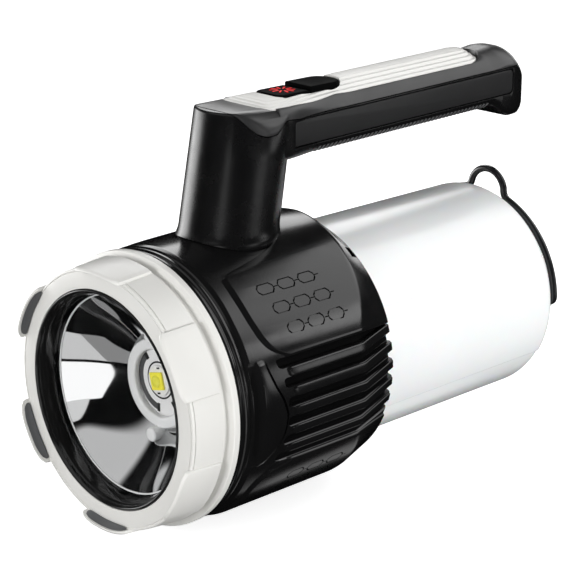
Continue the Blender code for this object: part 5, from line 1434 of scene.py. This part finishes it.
def grip_shape():
    rings = []
    rows = ((GRIP_START - 0.010, 0.0028), (GRIP_START - 0.004, 0.0024), (GRIP_START, 0.0018),
            (0.0840, 0.0011), (0.0880, 0.0005), (0.0930, 0.0001), (0.1000, 0), (0.1060, 0), (0.1120, 0),
            (0.1500, 0))
    for y, flare in rows:
        rings.append(grip_loop(y, GRIP_HALF_WIDTH + flare, GRIP_BOTTOM, GRIP_TOP + 0.0014 * rounding(y)))
    start = GRIP_END - STOP_LENGTH
    for along, width, hang, fall, run in GRIP_END_SHARES:
        rings.append(grip_loop(start + STOP_LENGTH * along, GRIP_HALF_WIDTH * width,
                               GRIP_BOTTOM - STOP_DROP * hang, GRIP_TOP - STOP_FALL * fall, run))
    last = rings[-1]
    centre = sum((Vector(point) for point in last), Vector()) / len(last)
    for scale, y in ((0.93, GRIP_END - 0.0001), (0.80, GRIP_END)):
        spots = [centre + (Vector(point) - centre) * scale for point in last]
        rings.append([(spot.x, y, spot.z) for spot in spots])
    rings = [finer_ring(ring, 4) for ring in rings]
    return lofted(finer_rings(rings, 4))


# The seam between neck and cover, from the neck's front to the grip's end.
def seam_line(offset):
    rows = sorted((1 - along, height) for along, height in SEAM_SHARES)
    spots = []
    for step in range(49):
        place = step / 48
        y = GRIP_START - SEAM_RUN * (1 - place)
        spots.append((y, SEAM_HEIGHT + SEAM_RISE * eased_row(rows, place, 1) + offset))
    end = GRIP_END + 0.004
    spots.append((end, SEAM_HEIGHT + lift(end) + offset))
    return spots


def slice_shape(offset, far_z):
    spots = seam_line(offset)
    first = neck_middle(NECK_FOOT_Z) - NECK_HALF_LENGTH - 0.004
    outline = [(first, spots[0][1])] + spots + [(spots[-1][0], far_z), (first, far_z)]
    return slab(outline, (-0.022, 0.022))


def panel_outline(grown):
    top = SEAM_HEIGHT - 0.0009 + grown
    bottom = GRIP_BOTTOM + 0.0036 - grown
    front = SIDE_PANEL_FRONT - grown
    end = SIDE_PANEL_END + grown
    corners = [(front, bottom), (end, bottom, 0.0022), (end, top, 0.0022), (front, top, 0.0011)]
    return lifted(rounded(corners, steps=5))


def insert_loop(inset, height, settle_drop=0.0006):
    head = INSERT_HEAD - inset
    waist = INSERT_WAIST - inset
    corner = max(INSERT_CORNER - inset, 0.0013)
    start = INSERT_START + inset
    end = INSERT_END - inset
    right = []
    for step in range(10):
        turn = math.radians(90 * step / 9)
        right.append((head - corner + corner * math.sin(turn), start + corner - corner * math.cos(turn)))
    for step in range(1, 5):
        right.append((head, start + corner + (INSERT_SHOULDER - start - corner) * step / 4))
    for step in range(1, 13):
        share = step / 12
        right.append((head + (waist - head) * share, INSERT_SHOULDER + INSERT_NARROWING * share))
    for step in range(1, 7):
        right.append((waist, INSERT_WAIST_START + (end - waist - INSERT_WAIST_START) * step / 6.01))
    for step in range(20):
        turn = math.radians(90 * (step + 0.5) / 20)
        right.append((waist * math.cos(turn), end - waist + waist * math.sin(turn)))
    left = [(-x, y) for x, y in reversed(right)]
    return [(x, y, height - settle_drop * rounding(y) + lift(y)) for x, y in right + left]


# A rounded rectangle seen from above. Its two front corners have a radius of their own.
def plan_loop(middle_y, half_x, half_y, corner, height, front_corner):
    loop = []
    spots = ((1, 1, 0, corner), (-1, 1, 90, corner), (-1, -1, 180, front_corner), (1, -1, 270, front_corner))
    for side_x, side_y, first, radius in spots:
        for step in range(9):
            turn = math.radians(first + 90 * step / 8)
            x = side_x * (half_x - radius) + radius * math.cos(turn)
            y = middle_y + side_y * (half_y - radius) + radius * math.sin(turn)
            loop.append((x, y, height))
    return loop


def button_well(low):
    middle = (BUTTON_START + BUTTON_END) / 2
    half = (BUTTON_END - BUTTON_START) / 2 + BUTTON_GAP
    wide = BUTTON_HALF_WIDTH + BUTTON_GAP
    corner = BUTTON_END_CORNER + BUTTON_GAP
    front_corner = BUTTON_CORNER + BUTTON_GAP
    return lofted([plan_loop(middle, wide, half, corner, z, front_corner) for z in (low, WELL_TOP)])


# The neck and the grip in one, less the shapes given, with its edges softened.
def handle_block(name, cuts):
    block = solid(name, neck_shape())
    combine(block, "UNION", solid(name + "_grip", grip_shape()))
    for cut in cuts:
        combine(block, "DIFFERENCE", solid("cut", cut))
    tidy_mesh(block.data)
    return soften(block, 0.0003, 45)


class LAMP_OT_handle(bpy.types.Operator):
    """Adds the glossy neck with the lower grip, and the satin shell on top"""
    bl_idname = "lamp.add_handle"
    bl_label = "Neck and grip"

    def execute(self, context):
        drum = [(0.02, 0), (0.02, FRAME_RADIUS + 0.0003), (0.101, FRAME_RADIUS + 0.0003), (0.101, 0)]
        panel_pockets = []
        for side in (1, -1):
            across = sorted((side * (GRIP_HALF_WIDTH - 0.0018), side * (GRIP_HALF_WIDTH + 0.004)))
            panel_pockets.append(slab(panel_outline(0.0003), across))
        flat = [(0.0088, 0.0897), (0.0088, 0.1853), (-0.0088, 0.1853), (-0.0088, 0.0897)]
        pad_pocket = [[(x, y, z + lift(y)) for x, y in flat]
                      for z in (GRIP_BOTTOM - 0.004, GRIP_BOTTOM + 0.0012)]
        board_pocket = box_shape((-0.0088, 0.0792, 0.0860), (0.0088, 0.1210, 0.0960))
        port_recess = box_shape((-0.0217, 0.0574, 0.0595), (-0.0154, 0.0656, 0.0730))
        socket_hole = box_shape((-0.0177, 0.0596, 0.0614), (-0.0103, 0.0634, 0.0711))
        lower = handle_block("handle_lower", (
            slice_shape(0, 0.107), turned(drum, 240, closed=False), joined(*panel_pockets), board_pocket,
            lofted(pad_pocket), port_recess, socket_hole,
        ))
        dress(lower, moulded("neck_gloss"), nodes=("handle_frame",), angle=34)

        recess = lofted([insert_loop(-0.0003, GRIP_TOP - 0.0020), insert_loop(-0.0003, GRIP_TOP + 0.004)],
                        strips=True)
        upper = handle_block("handle_upper", (slice_shape(0.0004, 0.0200), recess, button_well(0.0820)))
        dress(upper, moulded("cover_satin"), nodes=("handle_cover",), angle=34)
        return {"FINISHED"}


# A pair of teeth, one at each lower edge of the grip.
def edge_tooth_pair():
    teeth = []
    for side in (1, -1):
        edge = side * GRIP_HALF_WIDTH
        corners = [(edge - side * 0.0030, 0.0001), (edge - side * 0.0011, 0.0001),
                   (edge - side * 0.0001, 0.0012), (edge, 0.0019), (edge - side * 0.0008, 0.0019),
                   (edge - side * 0.0030, 0.0010)]
        teeth.append(lofted([[(x, y + z * 0.9, z) for x, z in corners[::-side]]
                             for y in (0, EDGE_PITCH * 0.5)]))
    return joined(*teeth)


class LAMP_OT_grip_trim(bpy.types.Operator):
    """Adds the side panels, the ribbed pad under the grip and the teeth along its edges"""
    bl_idname = "lamp.add_grip_trim"
    bl_label = "Side panels and grip pad"

    def execute(self, context):
        look = moulded("side_panel_matte")
        for name, side in (("right", 1), ("left", -1)):
            outer = side * (GRIP_HALF_WIDTH - 0.0003)
            inner = outer - side * SIDE_PANEL_WALL
            panel = solid("side_panel_%s_trim" % name, slab(panel_outline(0), sorted((inner, outer))))
            dress(soften(panel, 0.00035), look, nodes=("side_panel_" + name,))
        rubber = moulded("grip_rubber")
        count = int((PAD_END - PAD_START) / context.scene.lamp_handle.pad_pitch)
        pitch = (PAD_END - PAD_START) / count
        low = GRIP_BOTTOM - 0.0009
        top = GRIP_BOTTOM + 0.0009
        base = lifted([(PAD_START, low + 0.0007), (PAD_END, low + 0.0007), (PAD_END, top), (PAD_START, top)])
        sheet = solid("pad_sheet", slab(base, (-0.0085, 0.0085)), placed=False)
        ridge = rounded([(0.0002, 0.0012), (pitch * 0.22, 0, 0.0003), (pitch * 0.68, 0, 0.0003),
                         (pitch * 0.9, 0.0012)], steps=4)
        rib = solid("pad_rib", slab(ridge, (-0.0083, 0.0083)), placed=False)
        rib.data.transform(Matrix.Translation((0, PAD_START, low + lift(PAD_START))))
        grow(rib, row_repeat_tree(), rubber, count=count, step=(0, pitch, pitch * GRIP_SLOPE))
        tooth = solid("edge_teeth", edge_tooth_pair(), placed=False)
        tooth.data.transform(Matrix.Translation((0, PAD_START, GRIP_BOTTOM + lift(PAD_START))))
        grow(tooth, row_repeat_tree(), rubber, count=int((PAD_END - PAD_START) / EDGE_PITCH),
             step=(0, EDGE_PITCH, EDGE_PITCH * GRIP_SLOPE))
        dress(put_down(tooth), moulded("edge_grey"))
        pad = put_down(gather("grip_pad_ribbed", sheet, rib))
        dress(pad, rubber, nodes=("grip_pad",))
        return {"FINISHED"}


class LAMP_OT_insert(bpy.types.Operator):
    """Adds the pale rippled insert on top of the grip"""
    bl_idname = "lamp.add_insert"
    bl_label = "Insert"

    def execute(self, context):
        look = moulded("insert_white", context.scene.lamp_finishes.insert)
        low = GRIP_TOP - 0.0017
        edge = GRIP_TOP - 0.0009
        ripples = ((0.0002, 0.0003), (0.0005, 0.0005), (0.0015, 0.00062), (0.0018, 0.00078), (0.0022, 0.0011),
                   (0.0032, 0.00122), (0.0035, 0.00138), (0.0039, 0.0017), (0.0049, 0.00182),
                   (0.0052, 0.00196), (0.0056, 0.0022), (0.0064, 0.0023))
        loops = [insert_loop(0, low), insert_loop(0, edge - 0.0001)]
        loops += [insert_loop(inset, edge + rise, 0.0006 - rise) for inset, rise in ripples]
        insert = solid("grip_insert_rippled", lofted(loops, strips=True))
        combine(insert, "DIFFERENCE", solid("well", button_well(low - 0.004)))
        tidy_mesh(insert.data)
        dress(insert, look, nodes=("grip_insert",), angle=16)
        return {"FINISHED"}


class LAMP_OT_buttons(bpy.types.Operator):
    """Adds the two buttons and the red ticks on the front one, with a faint painted glow on the ticks"""
    bl_idname = "lamp.add_buttons"
    bl_label = "Buttons"

    def execute(self, context):
        look = moulded("button_black", Specular_IOR_Level=0.003)
        bottom = GRIP_TOP + BUTTON_RISE - 0.0040
        rows = (("button_front", "front_button", BUTTON_START, BUTTON_STEP - 0.0002, BUTTON_RISE,
                 BUTTON_CORNER, BUTTON_CORNER / 4),
                ("button_rear", "rear_button", BUTTON_STEP + 0.0002, BUTTON_END, 0.0033,
                 BUTTON_CORNER / 4, BUTTON_END_CORNER))
        for node, body, start, end, proud, front_corner, rear_corner in rows:
            top = GRIP_TOP + proud
            levels = ((bottom, 0), (top - 0.0009, 0), (top - 0.0006, 0.00008), (top - 0.00035, 0.0003),
                      (top - 0.00022, 0.0007), (top - 0.00008, 0.0022), (top, 0.0045))
            loops = [plan_loop((start + end) / 2, BUTTON_HALF_WIDTH - inset, (end - start) / 2 - inset,
                               max(rear_corner - inset, 0.0004), z, max(front_corner - inset, 0.0004))
                     for z, inset in levels]
            button = solid(node + "_cap", lofted(loops))
            dress(button, look, body=body, nodes=(node,), angle=50)
        # The ticks' emission is a painted glow that makes the red print read brighter
        red = moulded("tick_red_painted_glow", Specular_IOR_Level=0.1, Emission_Color=(0.80, 0.010, 0.012, 1),
                      Emission_Strength=0.35)
        tick = box_shape((-0.0003, 0.0017, -0.0003), (0.0003, 0.0047, 0.00005))
        ticks = solid("button_ticks", tick, placed=False)
        count = context.scene.lamp_handle.tick_count
        grow(ticks, turn_repeat_tree(), red, count=count, turn=(0, 0, math.tau / count))
        ticks.data.transform(Matrix.Translation((0, 0.0855, GRIP_TOP + BUTTON_RISE)))
        dress(put_down(ticks), red, body="front_button")
        return {"FINISHED"}


class LAMP_OT_charge_port(bpy.types.Operator):
    """Adds the cover of the charging port"""
    bl_idname = "lamp.add_charge_port"
    bl_label = "Charging port"

    def execute(self, context):
        low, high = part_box("charge_cover")
        flap = solid("charge_cover_flap", box_shape(low, high), placed=False)
        soften(flap, 0.0007, segments=3)
        middle = (low.y + high.y) / 2
        ridge = box_shape((low.x, middle - 0.0022, high.z - 0.0022),
                          (low.x + 0.0004, middle + 0.0022, high.z - 0.0015))
        whole = gather("charge_cover_flap", flap, solid("flap_pull", ridge, placed=False))
        dress(whole, moulded("port_cover_rubber"), body="charge_cover", nodes=("charge_cover",))
        return {"FINISHED"}


# Finish, how metallic it is, and the inner parts that have it
INNER_PARTS = (
    ("board_green", 0.0, ("driver_board", "switch_board")),
    ("battery_plate", 0.0, ("battery_plate_front", "battery_plate_rear")),
    ("battery_wrap", 0.0, ("battery_cell_1", "battery_cell_2", "battery_cell_3")),
    ("heat_sink_aluminium", 1.0, ("heat_sink",)),
    ("socket_metal", 1.0, ("charge_socket",)),
    ("lantern_board_white", 0.0, ("lantern_board",)),
)


class LAMP_OT_inner_finishes(bpy.types.Operator):
    """Gives the inner parts that keep their first shape a finish of their own"""
    bl_idname = "lamp.finish_inner_parts"
    bl_label = "Inner parts"

    def execute(self, context):
        for name, metallic, nodes in INNER_PARTS:
            look = moulded(name, Metallic=metallic)
            for node in nodes:
                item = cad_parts[node]
                for slot in item.material_slots:
                    slot.link = "OBJECT"
                    slot.material = look
                if not item.material_slots:
                    item.data.materials.append(look)
        return {"FINISHED"}


# Studio

CAMERA_LENS = 118.95
CAMERA_AZIMUTH = 46.293
CAMERA_HEIGHT = 18.072
CAMERA_SPOT = (0.4889, -0.3789, 0.2419)
FLOOR_HALF = 4
LAMP_MIDDLE = (0, 0, 0.08)
LENS_MIDDLE = (0, -0.1, 0.05)
ROOM_LEVEL = 0.37
ROOM_LEVEL_MIRRORED = 0.001
ROOM_LEVEL_SEEN = 0.66

# Name, azimuth, height above the horizon, distance, size and power
SOFTBOXES = (
    ("right_light", 4, 0, 1.2, 0.7, 18.5),
    ("front_light", -85, 8, 1.2, 0.6, 9.0),
    ("top_light", 75, 50, 1.2, 0.8, 3.2),
    ("rear_light", 200, 20, 1.2, 0.8, 4.0),
)

# Name, azimuth, height above the horizon, distance, width, depth, glow, faded share and what it faces
BOARDS = (
    ("rear_right_board", 68, 36, 1.2, 1.50, 1.00, 1.9, 0.4, LAMP_MIDDLE),
    ("rear_left_board", 142, 34, 1.2, 0.90, 0.75, 3.4, 0.4, LAMP_MIDDLE),
    ("rear_strip_board", 112, 8, 1.2, 0.60, 0.30, 2.2, 0.4, LAMP_MIDDLE),
    ("low_right_board", 17, -8, 1.0, 0.80, 0.34, 1.1, 0.8, LAMP_MIDDLE),
    ("left_board", -160, 0, 1.0, 1.30, 0.90, 5.5, 0.75, LAMP_MIDDLE),
    ("low_left_board", -104, -30, 1.2, 0.60, 0.60, 1.5, 0.4, LAMP_MIDDLE),
    ("right_step_board", 44, 21, 1.2, 0.50, 0.32, 3.3, 0.4, LAMP_MIDDLE),
    ("mid_right_board", 42, 1, 1.2, 0.42, 0.36, 1.9, 0.5, LAMP_MIDDLE),
    ("under_board", 97, -50, 1.2, 0.40, 0.40, 0.6, 0.5, LAMP_MIDDLE),
    ("near_board", -54.5, -10, 0.35, 0.155, 0.235, 1.30, 0.04, LENS_MIDDLE),
    ("near_step_board", -54, 16, 0.36, 0.085, 0.11, 0.80, 0.1, LENS_MIDDLE),
    ("high_front_board", -98, 47, 1.2, 1.9, 0.85, 0.62, 0.35, LAMP_MIDDLE),
    ("low_front_board", -56, -43, 1.0, 0.36, 0.48, 0.72, 0.05, LENS_MIDDLE),
    ("low_side_board", -72, -43, 1.0, 0.19, 0.48, 0.30, 0.05, LENS_MIDDLE),
)


# Adds an object to the stage and turns it towards what it faces.
def stage_item(name, data, azimuth, height, distance, target):
    item = bpy.data.objects.new(name, data)
    bpy.context.scene.collection.objects.link(item)
    turn = math.radians(azimuth)
    rise = math.radians(height)
    out = Vector((math.cos(turn) * math.cos(rise), math.sin(turn) * math.cos(rise), math.sin(rise)))
    item.location = Vector(target) + out * distance
    item.rotation_euler = (Vector(target) - item.location).to_track_quat("-Z", "Y").to_euler()
    item.visible_camera = False
    return item


# A soft light that only brightens surfaces and is not mirrored in the glossy ones.
def softbox(name, azimuth, height, distance, size, power):
    light = bpy.data.lights.new(name, "AREA")
    light.shape = "DISK"
    light.size = size
    light.energy = power
    stage_item(name, light, azimuth, height, distance, (0, 0, 0.06)).visible_glossy = False


# A glowing board that is only mirrored in the glossy surfaces. It fades out towards its edges.
def board(name, azimuth, height, distance, width, depth, glow, fade, target):
    half_x = width / 2
    half_y = depth / 2
    mesh = bpy.data.meshes.new(name)
    corners = [(-half_x, -half_y, 0), (half_x, -half_y, 0), (half_x, half_y, 0), (-half_x, half_y, 0)]
    mesh.from_pydata(corners, [], [(0, 1, 2, 3)])
    item = stage_item(name, mesh, azimuth, height, distance, target)
    look = bpy.data.materials.new(name)
    look.use_nodes = True
    tree = look.node_tree
    tree.nodes.remove(tree.nodes["Principled BSDF"])
    place = wired(tree, "ShaderNodeTexCoord").outputs["Object"]
    shares = []
    for output, half in zip(wired(tree, "ShaderNodeSeparateXYZ", {0: place}).outputs, (half_x, half_y)):
        size = wired(tree, "ShaderNodeMath", {0: output}, operation="ABSOLUTE").outputs[0]
        run = {"Value": size, "From Min": half * (1 - fade), "From Max": half, "To Min": 1, "To Max": 0}
        shares.append(wired(tree, "ShaderNodeMapRange", run, interpolation_type="SMOOTHSTEP").outputs[0])
    both = wired(tree, "ShaderNodeMath", dict(enumerate(shares)), operation="MULTIPLY").outputs[0]
    power = wired(tree, "ShaderNodeMath", {0: both, 1: glow}, operation="MULTIPLY").outputs[0]
    clear = wired(tree, "ShaderNodeBsdfTransparent").outputs[0]
    light = wired(tree, "ShaderNodeEmission", {"Strength": power}).outputs[0]
    mix = wired(tree, "ShaderNodeMixShader", {0: both, 1: clear, 2: light}).outputs[0]
    tree.links.new(mix, tree.nodes["Material Output"].inputs["Surface"])
    mesh.materials.append(look)
    item.visible_diffuse = False
    item.visible_shadow = False
    item.visible_transmission = False


# The room is even and soft for matt surfaces, dark for mirrored ones and white behind the lamp.
def studio_world():
    world = bpy.data.worlds.new("studio")
    bpy.context.scene.world = world
    world.use_nodes = True
    tree = world.node_tree
    back = tree.nodes["Background"]
    path = wired(tree, "ShaderNodeLightPath").outputs
    run = {"Value": path["Is Glossy Ray"], "To Min": ROOM_LEVEL, "To Max": ROOM_LEVEL_MIRRORED}
    level = wired(tree, "ShaderNodeMapRange", run).outputs[0]
    seen = {0: path["Is Camera Ray"], 1: ROOM_LEVEL_SEEN, 2: level}
    seen = wired(tree, "ShaderNodeMath", seen, operation="MULTIPLY_ADD").outputs[0]
    tree.links.new(seen, back.inputs["Strength"])
    back.inputs["Color"].default_value = (1, 1, 1, 1)


class LAMP_OT_stage(bpy.types.Operator):
    """Sets the camera, the pale floor and the soft lights"""
    bl_idname = "lamp.set_stage"
    bl_label = "Stage"

    def execute(self, context):
        scene = context.scene
        camera = bpy.data.objects.new("camera", bpy.data.cameras.new("camera"))
        scene.collection.objects.link(camera)
        camera.data.lens = CAMERA_LENS
        camera.data.sensor_width = 36
        turn = math.radians(CAMERA_AZIMUTH)
        rise = math.radians(CAMERA_HEIGHT)
        right = Vector((math.cos(turn), math.sin(turn), 0))
        back = Vector((math.sin(turn) * math.cos(rise), -math.cos(turn) * math.cos(rise), math.sin(rise)))
        place = Matrix((right, back.cross(right), back)).transposed().to_4x4()
        place.translation = PLACE @ Vector(CAMERA_SPOT)
        camera.matrix_world = place
        scene.camera = camera
        scene.view_settings.view_transform = "Standard"

        corners = [(x * FLOOR_HALF, y * FLOOR_HALF, 0) for x, y in ((-1, -1), (1, -1), (1, 1), (-1, 1))]
        floor = solid("floor", (corners, [(0, 1, 2, 3)]), placed=False)
        look = moulded("floor_white", Specular_IOR_Level=0.0, Emission_Color=(1, 1, 1, 1),
                       Emission_Strength=0.75)
        floor.data.materials.append(look)
        floor.visible_glossy = False
        floor.visible_diffuse = False
        studio_world()
        for row in SOFTBOXES:
            softbox(*row)
        for row in BOARDS:
            board(*row)
        return {"FINISHED"}


OPERATORS = (
    LAMP_OT_bezel, LAMP_OT_lug_pads, LAMP_OT_lens, LAMP_OT_reflector, LAMP_OT_light_source, LAMP_OT_body,
    LAMP_OT_diffuser, LAMP_OT_bail, LAMP_OT_handle, LAMP_OT_grip_trim, LAMP_OT_insert, LAMP_OT_buttons,
    LAMP_OT_charge_port, LAMP_OT_inner_finishes, LAMP_OT_stage,
)


class LAMP_PT_searchlight(bpy.types.Panel):
    """Lists the searchlight's pieces and their settings"""
    bl_label = "Searchlight"
    bl_idname = "LAMP_PT_searchlight"
    bl_space_type = "VIEW_3D"
    bl_region_type = "UI"
    bl_category = "Searchlight"

    def draw(self, context):
        scene = context.scene
        for group in (scene.lamp_head, scene.lamp_body, scene.lamp_handle, scene.lamp_finishes):
            box = self.layout.box()
            for name in group.bl_rna.properties.keys():
                if name not in ("rna_type", "name"):
                    box.prop(group, name)
        for operator in OPERATORS:
            self.layout.operator(operator.bl_idname)


GROUPS = (
    ("lamp_head", LampHeadSizes), ("lamp_body", LampBodySizes), ("lamp_handle", LampHandleSizes),
    ("lamp_finishes", LampFinishes),
)


def register():
    for name, group in GROUPS:
        bpy.utils.register_class(group)
        setattr(bpy.types.Scene, name, PointerProperty(type=group))
    for operator in OPERATORS:
        bpy.utils.register_class(operator)
    bpy.utils.register_class(LAMP_PT_searchlight)


def unregister():
    bpy.utils.unregister_class(LAMP_PT_searchlight)
    for operator in reversed(OPERATORS):
        bpy.utils.unregister_class(operator)
    for name, group in reversed(GROUPS):
        delattr(bpy.types.Scene, name)
        bpy.utils.unregister_class(group)


def main():
    register()
    for operator in OPERATORS:
        section, name = operator.bl_idname.split(".")
        getattr(getattr(bpy.ops, section), name)()


if __name__ == "__main__":
    main()
